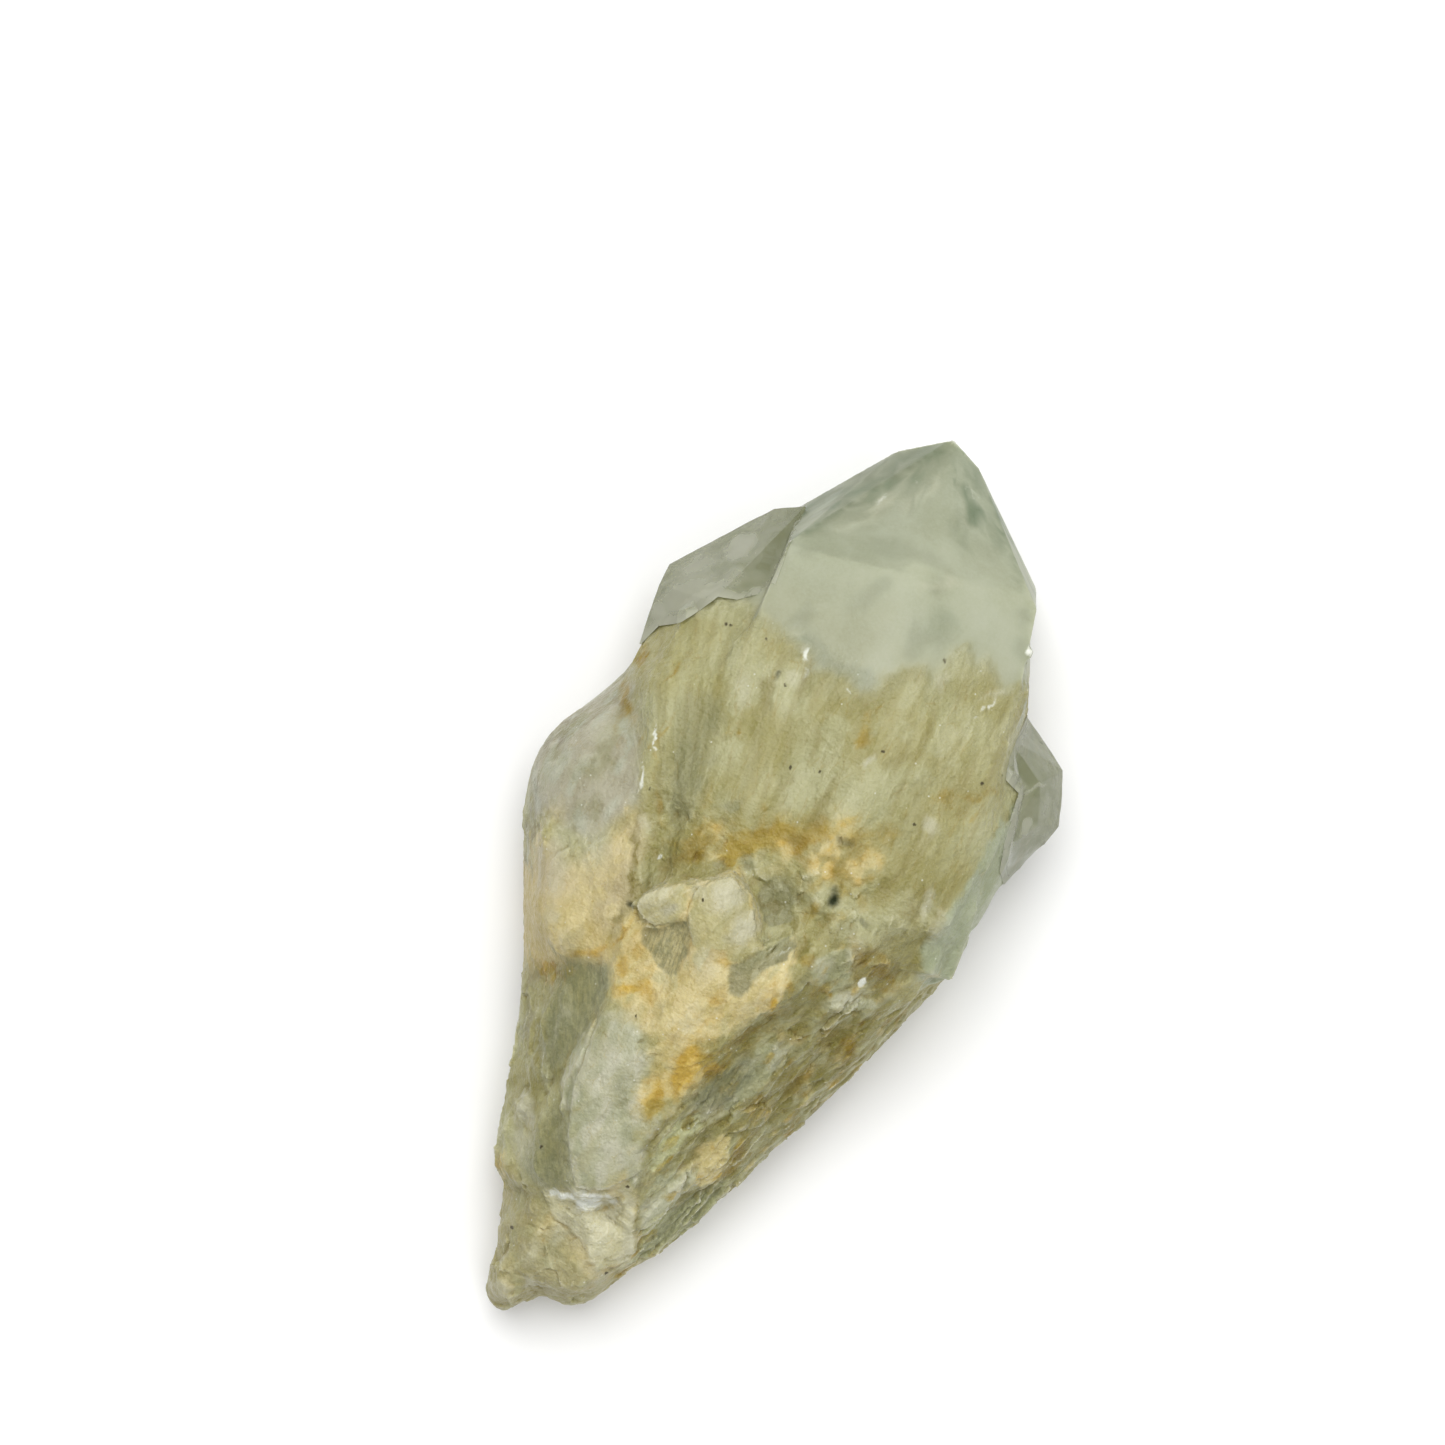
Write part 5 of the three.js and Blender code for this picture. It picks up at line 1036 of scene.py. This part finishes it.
def iron_stain(points, ragged, seen):
    """How rusty the stone is: in the drawn stains and round them, on the flank, and on the back."""
    splinters = smooth_step(clouds(turned(points, LEAN), (1.2, 2, 2), 25), 0.2, 0.5)
    flank = zone(points, RIGHT_FLANK, 2.5) * splinters
    golden = zone(ragged, CREAM_SHEET, 3) * smooth_step(-points[:, 1] + 1.5 * clouds(points, 2, 44), 4, 16)
    halo = most_of(ragged, STAINS, 1.9)
    front = np.maximum.reduce([most_of(ragged, STAINS), 0.5 * halo, 0.6 * flank, 0.2 * golden])
    back = smooth_step(clouds(points, (7, 12, 7), 23), 0.2, 0.6) * 0.5 * (points[:, 1] < 18)
    return np.maximum(front * seen, back * (1 - seen))


def clear_windows(points):
    """Where the stone is clearer and darker."""
    strayed = wandering(points, 0.8, 0.25, 22)
    return np.max([zone(strayed, outline, soft) for outline, soft in zip(WINDOWS, WINDOW_SOFTNESS)], axis=0)


def specks(points):
    """Tiny dark grains."""
    return np.max([1 - smooth_step(np.hypot(points[:, 0] - x, points[:, 1] - y), 0, SPECK_REACH)
                   for x, y in SPECKS], axis=0)


def paint_stone(piece):
    """Keeps the colours and masks that the milky stone's material reads."""
    points, facing = positions(piece), normals(piece)
    across = fan(points)
    seen = smooth_step(facing[:, 2], -0.25, 0.15) * smooth_step(points[:, 2], 3, 7)
    level = smooth_step(facing[:, 2], 0.15, 0.4)
    hollow = smoothed(neighbours(piece), points, CREVICE_ROUNDS)
    crevice = np.einsum("ij,ij->i", hollow - points, facing)
    window = clear_windows(points)
    ragged = wandering(points, 1.6, 0.6, 21)
    ground, mark, cover = ground_colour(painting_places(points, facing, across))
    keep_colour(piece, "ground", ground)
    keep_colour(piece, "mark", mark)
    keep_value(piece, "cover", cover)
    keep_value(piece, "iron", iron_stain(points, ragged, seen))
    keep_value(piece, "window", window * seen)
    keep_value(piece, "pit", most_of(ragged, PITS) * seen)
    # White frosted breaks, and a few painted glints, on faces that look up.
    keep_value(piece, "frost_and_glint", most_of(wandering(points, 0.7, 0.4, 24), FLASHES) * level)
    keep_value(piece, "crevice", np.clip(crevice * CREVICE_GAIN, -1, 1))
    keep_value(piece, "polish", np.maximum(upper_part(points), window * 0.3))
    keep_value(piece, "fan", across)
    keep_value(piece, "bundle", smooth_step(points[:, 1], 0, 5) * (1 - zone(points, LEFT_CRYSTAL, 2)))
    keep_value(piece, "speck", specks(points) * seen)


# The clear crystals

# White veils, written as the pits are.
VEILS = [
    (-16.2, 27.4, 1.2, 2, -35, 1), (-17.8, 21.4, 0.5, 3.4, -37, 1), (-20.6, 18.5, 0.9, 1.3, 0, 0.9),
    (-14.1, 25.1, 1, 1.4, -60, 0.35), (-19, 21, 2, 3.5, -37, 0.6), (-15.4, 24.3, 1.2, 1.6, -40, 0.5),
    (-14.4, 27, 0.5, 2, 0, 0.4), (-19.2, 24, 1, 2.6, -40, 0.6), (-20.8, 19.4, 0.7, 2.2, 0, 0.5),
    (-16.4, 22.4, 1.4, 0.6, 40, 0.6), (-18, 20.6, 1.6, 0.7, 40, 0.6), (19.3, 14.7, 0.7, 1, 0, 0.9),
    (18.6, 18.4, 0.3, 1.6, -40, 0.7), (20.4, 17, 0.8, 1.4, 10, 0.4), (20.5, 15, 0.9, 1, 0, 0.4),
    (17.4, 23, 1.2, 0.4, 0, 0.3),
]
DENT = (20.6, 12.6, 14)  # a chip there is ground smooth
DENT_CORE, DENT_RIM = 1.4, 2.6  # all of it as far as the first from there, and nothing beyond the second
DENT_TIMES = 500
CLEAR_CREASE = 30  # degrees: sharper edges stay sharp


def clear_crystal(name, outline, shift):
    """One clear crystal: the stone inside its outline, with softened edges and a slightly uneven skin."""
    piece = stone_copy(name)
    cut(piece, upright_block(outline, shift), "INTERSECT")
    apply_modifier(piece, "REMESH", mode="SHARP", octree_depth=7, scale=0.9, sharpness=1,
                   use_remove_disconnected=True)
    points, facing = positions(piece), normals(piece)
    free = smooth_step(points[:, 2], 0.1, 1)
    dent = 1 - smooth_step(np.linalg.norm(points - DENT, axis=1), DENT_CORE, DENT_RIM)
    points = smoothed(neighbours(piece), points, DENT_TIMES, dent)
    swell = 0.05 * clouds(points, 2.5, 31) + 0.03 * clouds(points, 0.9, 32)
    place(piece, points + facing * (swell * free)[:, None])
    keep_value(piece, "veil", veils_in(points, outline))
    shade(piece, CLEAR_CREASE)
    return piece


def veils_in(points, outline):
    """Where a clear crystal is frosted: in the drawn veils, and where it grows out of the milky stone."""
    contact = 1 - zone(wandering(points, 0.8, 0.5, 35), outline, 2.4)
    drawn = most_of(wandering(points, 1, 0.5, 33), VEILS)
    return np.maximum(drawn, 1.2 * contact * smooth_step(-points[:, 1], -31, -26))


# Shader nodes

FLOAT, VECTOR = "NodeSocketFloat", "NodeSocketVector"
IN_MM = 1000.0  # a pattern of size 1 in millimetres, as a scale on coordinates in metres
GRAIN_RISE, PIT_RISE = 0.00016, 0.00012  # metres


def set_values(node, values):
    """Gives a node's inputs these values, by their names."""
    for key, value in values.items():
        node.inputs[key].default_value = value


class Nodes:
    """A node tree being drawn: adds nodes and joins their sockets."""

    def __init__(self, tree):
        self.tree = tree

    def add(self, kind, settings=None, values=None, **links):
        """A new node with these settings and values, and with its inputs joined to these sockets."""
        node = self.tree.nodes.new(kind)
        for key, value in (settings or {}).items():
            setattr(node, key, value)
        set_values(node, values or {})
        for key, source in links.items():
            self.link(source, node.inputs[key.replace("_", " ")])
        return node

    def link(self, source, target):
        self.tree.links.new(source, target)

    def feed(self, socket, value):
        """Gives an input a number, a colour or another node's output."""
        if isinstance(value, (int, float)):
            socket.default_value = value
        elif isinstance(value, tuple):
            socket.default_value = (*value, 1)
        else:
            self.link(value, socket)

    def math(self, operation, first, second):
        node = self.add("ShaderNodeMath", {"operation": operation})
        self.feed(node.inputs[0], first)
        self.feed(node.inputs[1], second)
        return node.outputs[0]

    def times(self, first, second):
        return self.math("MULTIPLY", first, second)

    def plus(self, first, second):
        return self.math("ADD", first, second)

    def ramp(self, value, low, high, to_low=0.0, to_high=1.0):
        """The value eased from one range to another."""
        limits = {"From Min": low, "From Max": high, "To Min": to_low, "To Max": to_high}
        node = self.add("ShaderNodeMapRange", {"interpolation_type": "SMOOTHSTEP"}, limits, Value=value)
        return node.outputs["Result"]

    def mix(self, factor, first, second, blend="MIX"):
        """The second colour over the first."""
        node = self.add("ShaderNodeMix", {"data_type": "RGBA", "blend_type": blend})
        self.feed(node.inputs["Factor"], factor)
        self.feed(node.inputs[6], first)
        self.feed(node.inputs[7], second)
        return node.outputs[2]

    def value_of(self, name):
        return self.add("ShaderNodeAttribute", {"attribute_name": name}).outputs["Fac"]

    def colour_of(self, name):
        return self.add("ShaderNodeAttribute", {"attribute_name": name}).outputs["Color"]

    def noise_of(self, vector, size, detail, roughness, distortion=0.0):
        values = {"Detail": detail, "Roughness": roughness, "Distortion": distortion}
        return self.add("ShaderNodeTexNoise", values=values, Vector=vector, Scale=size).outputs

    def cells_of(self, vector, size, feature="F1"):
        return self.add("ShaderNodeTexVoronoi", {"feature": feature}, Vector=vector, Scale=size).outputs

    def use(self, group, values=None, **links):
        """Places a node group, with its own values."""
        node = self.add("ShaderNodeGroup")
        node.node_tree = group
        set_values(node, values or {})
        for key, source in links.items():
            self.link(source, node.inputs[key])
        return node.outputs


def new_group(name, inputs, outputs):
    """An empty node group. Inputs are name: (socket kind, value) and outputs name: socket kind."""
    group = bpy.data.node_groups.new(name, "ShaderNodeTree")
    for label, (kind, value) in inputs.items():
        socket = group.interface.new_socket(label, in_out="INPUT", socket_type=kind)
        if value is not None:
            socket.default_value = value
    for label, kind in outputs.items():
        group.interface.new_socket(label, in_out="OUTPUT", socket_type=kind)
    nodes = Nodes(group)
    return group, nodes, nodes.add("NodeGroupInput").outputs, nodes.add("NodeGroupOutput").inputs


def veil_group():
    """Cloudy veils inside quartz: 0 where it is clearer, 1 where it is milkier."""
    group, nodes, given, out = new_group(
        "cloudy_veils", {"Vector": (VECTOR, None), "Size": (FLOAT, 6.0)}, {"Veil": FLOAT, "Fine": FLOAT})
    size = nodes.math("DIVIDE", IN_MM, given["Size"])
    wide = nodes.noise_of(given["Vector"], size, 5.0, 0.6, 0.6)
    fine = nodes.noise_of(given["Vector"], nodes.times(size, 6.0), 4.0, 0.7, 0.2)
    nodes.link(nodes.ramp(wide["Fac"], 0.38, 0.64), out["Veil"])
    nodes.link(nodes.ramp(fine["Fac"], 0.3, 0.72), out["Fine"])
    return group


def ragged_group():
    """Turns a soft mask into one with a ragged, grainy edge."""
    group, nodes, given, out = new_group(
        "ragged_edge", {"Mask": (FLOAT, 0.0), "Vector": (VECTOR, None), "Size": (FLOAT, 1.0),
                        "Ragged": (FLOAT, 0.5), "Soft": (FLOAT, 0.5)}, {"Mask": FLOAT})
    pattern = nodes.noise_of(given["Vector"], nodes.math("DIVIDE", IN_MM, given["Size"]), 8.0, 0.65)
    push = nodes.times(nodes.math("SUBTRACT", pattern["Fac"], 0.5), given["Ragged"])
    edge = nodes.ramp(nodes.plus(given["Mask"], nodes.times(push, 2.0)), 0.0, 1.0)
    reach = edge.node.inputs
    nodes.link(nodes.math("SUBTRACT", 0.5, given["Soft"]), reach["From Min"])
    nodes.link(nodes.plus(0.5, given["Soft"]), reach["From Max"])
    nodes.link(nodes.times(edge, nodes.ramp(given["Mask"], 0.0, 0.2)), out["Mask"])
    return group


def grain_group():
    """Fine relief: growth pits and a crystalline grain, as heights in metres."""
    group, nodes, given, out = new_group(
        "quartz_grain", {"Vector": (VECTOR, None), "Size": (FLOAT, 0.6)}, {"Height": FLOAT})
    size = nodes.math("DIVIDE", IN_MM, given["Size"])
    grain = nodes.noise_of(given["Vector"], size, 5.0, 0.6)
    pits = nodes.cells_of(given["Vector"], size)
    raised, dented = nodes.times(grain["Fac"], GRAIN_RISE), nodes.times(pits["Distance"], PIT_RISE)
    nodes.link(nodes.plus(raised, dented), out["Height"])
    return group


def plate_group():
    """Broken plates of slightly different shade, with thin light edges between some of them."""
    group, nodes, given, out = new_group(
        "broken_plates", {"Vector": (VECTOR, None), "Size": (FLOAT, 1.8)}, {"Shade": FLOAT, "Edge": FLOAT})
    size = nodes.math("DIVIDE", IN_MM, given["Size"])
    sway = nodes.noise_of(given["Vector"], size, 3.0, 0.6)
    reach = nodes.times(given["Size"], 0.9 * MM)
    shift = nodes.add("ShaderNodeVectorMath", {"operation": "SCALE"}, Scale=reach)
    nodes.link(sway["Color"], shift.inputs[0])
    moved = nodes.add("ShaderNodeVectorMath", {"operation": "ADD"})
    nodes.link(given["Vector"], moved.inputs[0])
    nodes.link(shift.outputs[0], moved.inputs[1])
    cells = nodes.cells_of(moved.outputs[0], size)
    rims = nodes.cells_of(moved.outputs[0], size, "DISTANCE_TO_EDGE")
    thin = nodes.ramp(rims["Distance"], 0.0, 0.06, 1.0, 0.0)
    nodes.link(nodes.ramp(cells["Color"], 0.25, 0.75), out["Shade"])
    nodes.link(nodes.times(thin, nodes.ramp(sway["Fac"], 0.5, 0.6)), out["Edge"])
    return group


def glint_group():
    """Scattered tiny points, as where a grain of quartz catches the light."""
    group, nodes, given, out = new_group(
        "scattered_glints", {"Vector": (VECTOR, None), "Size": (FLOAT, 1.6)}, {"Glint": FLOAT})
    grains = nodes.cells_of(given["Vector"], nodes.math("DIVIDE", IN_MM, given["Size"]))
    near = nodes.ramp(grains["Distance"], 0.05, 0.12, 1.0, 0.0)
    nodes.link(nodes.times(near, nodes.ramp(grains["Color"], 0.6, 0.66)), out["Glint"])
    return group


def new_material(name):
    """A new material: itself, its nodes, its shader and its output."""
    material = bpy.data.materials.new(name)
    material.use_nodes = True
    found = material.node_tree.nodes
    return material, Nodes(material.node_tree), found["Principled BSDF"], found["Material Output"]


# The milky quartz. Each step takes the colour from the one before it.

QUARTZ_IOR = 1.54


def crystal_lanes(nodes, where):
    """Coordinates drawn out along the slender crystals, so that a pattern on them makes streaks."""
    apart = nodes.add("ShaderNodeSeparateXYZ", Vector=where).outputs
    across = nodes.times(nodes.value_of("fan"), 0.7 * MM)
    lanes = nodes.add("ShaderNodeCombineXYZ", X=across, Y=nodes.times(apart["Y"], 0.2),
                      Z=nodes.times(apart["Z"], 0.3))
    return lanes.outputs["Vector"]


def along_crystals(nodes, where, lanes):
    """Coordinates that follow the slender crystals in the bundle and the splinters elsewhere."""
    leaning = nodes.add("ShaderNodeMapping", Vector=where,
                        values={"Rotation": (0, 0, math.radians(LEAN)), "Scale": (1, 0.5, 0.7)})
    along = nodes.add("ShaderNodeMix", {"data_type": "VECTOR"})
    nodes.link(nodes.value_of("bundle"), along.inputs[0])
    nodes.link(leaning.outputs["Vector"], along.inputs[4])
    nodes.link(lanes, along.inputs[5])
    return along.outputs[1]


def marked_ground(nodes, groups, stone):
    """The painted ground, with the painted marks on it."""
    covered = nodes.use(groups.ragged, {"Size": 1.6, "Ragged": 0.55, "Soft": 0.16},
                        Mask=nodes.value_of("cover"), Vector=stone.where)
    return nodes.mix(nodes.times(covered["Mask"], 0.65), nodes.colour_of("ground"), nodes.colour_of("mark"))


def cloudy(nodes, stone, colour):
    """Wide veils, small ones and streaks along the slender crystals."""
    dull = stone.dull
    clouded = nodes.mix(stone.veil["Veil"], stone.darker, stone.lighter)
    softly = nodes.mix(nodes.plus(nodes.times(dull, 0.25), 0.25), colour, clouded)
    small_share = nodes.times(stone.small_veil["Veil"], nodes.plus(nodes.times(dull, 0.25), 0.15))
    patchy = nodes.mix(small_share, softly, stone.lighter)
    gaps = nodes.times(nodes.math("SUBTRACT", 1.0, stone.streak["Veil"]), nodes.times(dull, 0.12))
    return nodes.mix(gaps, patchy, stone.darker)


def broken(nodes, groups, stone, colour):
    """Facets of several shades in two sizes, with rusty cracks and light edges between them."""
    plates = nodes.use(groups.plates, {"Size": 1.6}, Vector=stone.along)
    chips = nodes.use(groups.plates, {"Size": 0.75}, Vector=stone.along)
    for cells, share in ((plates, 0.4), (chips, 0.26)):
        shades = nodes.mix(cells["Shade"], stone.darker, stone.lighter)
        colour = nodes.mix(nodes.times(stone.dull, share), colour, shades)
    cracks = nodes.times(chips["Edge"], nodes.times(stone.dull, 0.3))
    cracked = nodes.mix(cracks, colour, RUST_TINT, "MULTIPLY")
    rims = nodes.times(plates["Edge"], nodes.times(stone.dull, 0.5))
    rimmed = nodes.mix(rims, cracked, stone.lighter)
    return nodes.mix(nodes.times(stone.small_veil["Fine"], 0.35), rimmed, stone.lighter)


def edge_highlights_and_stains(nodes, groups, stone, colour):
    """Painted highlights on the convex edges, rust in the seams, and the iron stains."""
    crevice = nodes.value_of("crevice")
    # Painted highlight: convex edges of the broken stone lightened towards warm white.
    edges = nodes.times(nodes.ramp(nodes.times(crevice, -1.0), 0.1, 0.8), nodes.times(stone.dull, 0.4))
    edge_lit = nodes.mix(edges, colour, WARM_WHITE)
    seams = nodes.times(nodes.ramp(crevice, 0.12, 0.8), nodes.times(stone.dull, 0.45))
    in_seams = nodes.mix(seams, edge_lit, RUST_TINT, "MULTIPLY")
    iron = nodes.use(groups.ragged, {"Size": 1.3, "Ragged": 0.5, "Soft": 0.35},
                     Mask=nodes.value_of("iron"), Vector=stone.where)["Mask"]
    shades = nodes.use(groups.veils, {"Size": 2.2}, Vector=stone.where)["Veil"]
    tint = nodes.mix(shades, RUST_TINT, OCHRE_TINT)
    return nodes.mix(nodes.times(iron, 0.95), in_seams, tint, "MULTIPLY")


def windows_and_specks(nodes, groups, stone, colour):
    """Clear windows, frosted breaks with a few painted glints, dark pits, scattered painted glints and
    specks.
    """
    window = nodes.use(groups.ragged, {"Size": 0.8, "Ragged": 0.35},
                       Mask=nodes.value_of("window"), Vector=stone.where)["Mask"]
    clear_part = nodes.ramp(stone.streak["Fine"], 0, 1, 0.75, 0.35)
    windowed = nodes.mix(nodes.times(window, clear_part), colour, WINDOW)
    frost_and_glint = nodes.use(groups.ragged, {"Size": 0.5, "Ragged": 0.35, "Soft": 0.3},
                      Mask=nodes.value_of("frost_and_glint"), Vector=stone.where)["Mask"]
    frosted = nodes.mix(frost_and_glint, windowed, FROST_AND_GLINT)
    pitted = nodes.mix(nodes.value_of("pit"), frosted, PIT)
    # Painted glints: tiny scattered points lightened towards white on the broken stone.
    glint = nodes.times(nodes.use(groups.glints, {"Size": 1.05}, Vector=stone.where)["Glint"], stone.dull)
    glinting = nodes.mix(nodes.times(glint, 0.6), pitted, FROST_AND_GLINT)
    return nodes.mix(nodes.ramp(nodes.value_of("speck"), 0.3, 0.7), glinting, SPECK)


def stone_gloss(nodes, stone):
    """Dull where it is broken, glossier on the crystal faces."""
    dull = nodes.ramp(stone.veil["Fine"], 0, 1, 0.28, 0.5)
    glossy = nodes.ramp(stone.veil["Veil"], 0, 1, 0.38, 0.5)
    return nodes.add("ShaderNodeMix", A=dull, B=glossy, Factor=stone.polish).outputs["Result"]


def stone_grain(nodes, groups, stone):
    """A fine grain in two sizes, all but gone on the crystal faces."""
    coarse = nodes.use(groups.grain, {"Size": 0.7}, Vector=stone.where)
    fine = nodes.use(groups.grain, {"Size": 0.3}, Vector=stone.where)
    height = nodes.plus(coarse["Height"], nodes.times(fine["Height"], 0.8))
    raised = nodes.times(height, nodes.ramp(stone.polish, 0, 1, 1.0, 0.1))
    bump = nodes.add("ShaderNodeBump", values={"Strength": 0.8, "Distance": 1.0}, Height=raised)
    return bump.outputs["Normal"]


def shade_of(nodes, colour, saturation, value):
    """A lighter or darker, duller or stronger shade of a colour."""
    shaded = nodes.add("ShaderNodeHueSaturation", Color=colour,
                       values={"Saturation": saturation, "Value": value})
    return shaded.outputs["Color"]


def milky_quartz(groups):
    """Milky to khaki quartz, cloudy inside, iron-stained in its hollows, dull where it is broken."""
    material, nodes, shader, _ = new_material("milky_quartz")
    stone = SimpleNamespace(where=nodes.add("ShaderNodeTexCoord").outputs["Object"])
    lanes = crystal_lanes(nodes, stone.where)
    stone.along = along_crystals(nodes, stone.where, lanes)
    stone.polish = nodes.value_of("polish")
    stone.dull = nodes.math("SUBTRACT", 1.0, stone.polish)
    stone.veil = nodes.use(groups.veils, {"Size": 5.0}, Vector=stone.where)
    stone.small_veil = nodes.use(groups.veils, {"Size": 1.8}, Vector=stone.where)
    stone.streak = nodes.use(groups.veils, {"Size": 1.6}, Vector=lanes)
    colour = marked_ground(nodes, groups, stone)
    stone.lighter = shade_of(nodes, colour, 0.84, 1.16)
    stone.darker = shade_of(nodes, colour, 1.15, 0.78)
    colour = cloudy(nodes, stone, colour)
    colour = broken(nodes, groups, stone, colour)
    colour = edge_highlights_and_stains(nodes, groups, stone, colour)
    colour = windows_and_specks(nodes, groups, stone, colour)
    nodes.link(colour, shader.inputs["Base Color"])
    nodes.link(stone_gloss(nodes, stone), shader.inputs["Roughness"])
    nodes.link(stone_grain(nodes, groups, stone), shader.inputs["Normal"])
    set_values(shader, {"IOR": QUARTZ_IOR, "Specular IOR Level": 0.22, "Subsurface Weight": 0.65,
                        "Subsurface Radius": (1.0, 0.98, 0.85), "Subsurface Scale": 0.002})
    return material


# The clear quartz

CLEAR_TINT = (0.37, 0.39, 0.23)
VEIL_TINT = (0.70, 0.71, 0.56)
DEPTH_TINT = (0.58, 0.62, 0.42, 1)  # what a long way through the crystal lets through


def clear_quartz(groups):
    """Clear quartz: see-through, faintly grey-green through its depth, frosted in veils."""
    material, nodes, shader, output = new_material("clear_quartz")
    where = nodes.add("ShaderNodeTexCoord").outputs["Object"]
    veil = nodes.use(groups.veils, {"Size": 3.5}, Vector=where)
    drawn = nodes.use(groups.ragged, {"Size": 2.0, "Ragged": 0.3, "Soft": 0.75},
                      Mask=nodes.value_of("veil"), Vector=where)
    frosted = nodes.math("MAXIMUM", drawn["Mask"], nodes.times(veil["Veil"], 0.3))
    nodes.link(nodes.mix(frosted, CLEAR_TINT, VEIL_TINT), shader.inputs["Base Color"])
    nodes.link(nodes.ramp(frosted, 0, 1, 0.05, 0.55), shader.inputs["Roughness"])
    height = nodes.use(groups.grain, {"Size": 1.2}, Vector=where)["Height"]
    bump = nodes.add("ShaderNodeBump", values={"Strength": 0.2, "Distance": 1.0}, Height=height)
    nodes.link(bump.outputs["Normal"], shader.inputs["Normal"])
    set_values(shader, {"IOR": QUARTZ_IOR, "Transmission Weight": 0.6})
    inside = nodes.add("ShaderNodeVolumeAbsorption", values={"Color": DEPTH_TINT, "Density": 6.0})
    nodes.link(inside.outputs["Volume"], output.inputs["Volume"])
    return material


# The floor, the light and the camera

FLOOR_SIZE = 4  # metres


def pale_floor():
    """The floor that the stone lies on, for the picture only."""
    bpy.ops.object.select_all(action="DESELECT")
    bpy.ops.mesh.primitive_plane_add(size=FLOOR_SIZE)
    floor = bpy.context.object
    floor.name = "floor"
    material, _, shader, _ = new_material("pale_floor")
    set_values(shader, {"Base Color": (0.9, 0.9, 0.895, 1), "Roughness": 0.8, "Specular IOR Level": 0.2})
    floor.data.materials.append(material)


def soft_light(name, place_at, size, power):
    """A round soft light that points at the stone: place and size in metres, power in watts."""
    light = bpy.data.lights.new(name, "AREA")
    light.shape = "DISK"
    light.size = size
    light.energy = power
    lamp = bpy.data.objects.new(name, light)
    bpy.context.scene.collection.objects.link(lamp)
    lamp.location = place_at
    lamp.rotation_euler = (-Vector(place_at)).to_track_quat("-Z", "Y").to_euler()


def studio():
    """An even white surround, a large soft light behind the stone and a weaker one on its right."""
    world = bpy.data.worlds.new("studio")
    bpy.context.scene.world = world
    world.use_nodes = True
    set_values(world.node_tree.nodes["Background"], {"Color": (1, 1, 1, 1), "Strength": 0.36})
    soft_light("key", (-0.2, 0.35, 0.95), 0.9, 10.5)
    soft_light("fill", (0.5, -0.1, 0.9), 0.8, 3)
    bpy.context.scene.view_settings.view_transform = "Standard"


def camera():
    """A camera straight above the stone, turned as the photograph is."""
    lens = bpy.data.cameras.new("camera")
    lens.sensor_width = SENSOR
    lens.lens = SENSOR * (CAMERA_PLACE[2] - SCALE_HEIGHT) / FRAME_WIDTH
    seer = bpy.data.objects.new("camera", lens)
    bpy.context.scene.collection.objects.link(seer)
    seer.location = [value * MM for value in CAMERA_PLACE]
    seer.rotation_euler = (0, 0, math.radians(CAMERA_TURN))
    bpy.context.scene.camera = seer


def finish(piece, material):
    """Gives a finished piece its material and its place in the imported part."""
    piece.data.materials.clear()
    piece.data.materials.append(material)
    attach(piece, "root")
    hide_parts(STONE)


camera()
studio()
pale_floor()
groups = SimpleNamespace(
    veils=veil_group(),
    ragged=ragged_group(),
    grain=grain_group(),
    plates=plate_group(),
    glints=glint_group(),
)
finish(milky_stone(), milky_quartz(groups))
clear = clear_quartz(groups)
finish(clear_crystal("left_clear_crystal", LEFT_CLEAR, (CLEAR_OVERLAP, -CLEAR_OVERLAP)), clear)
finish(clear_crystal("right_clear_crystal", RIGHT_CLEAR, (-CLEAR_OVERLAP, -CLEAR_OVERLAP)), clear)
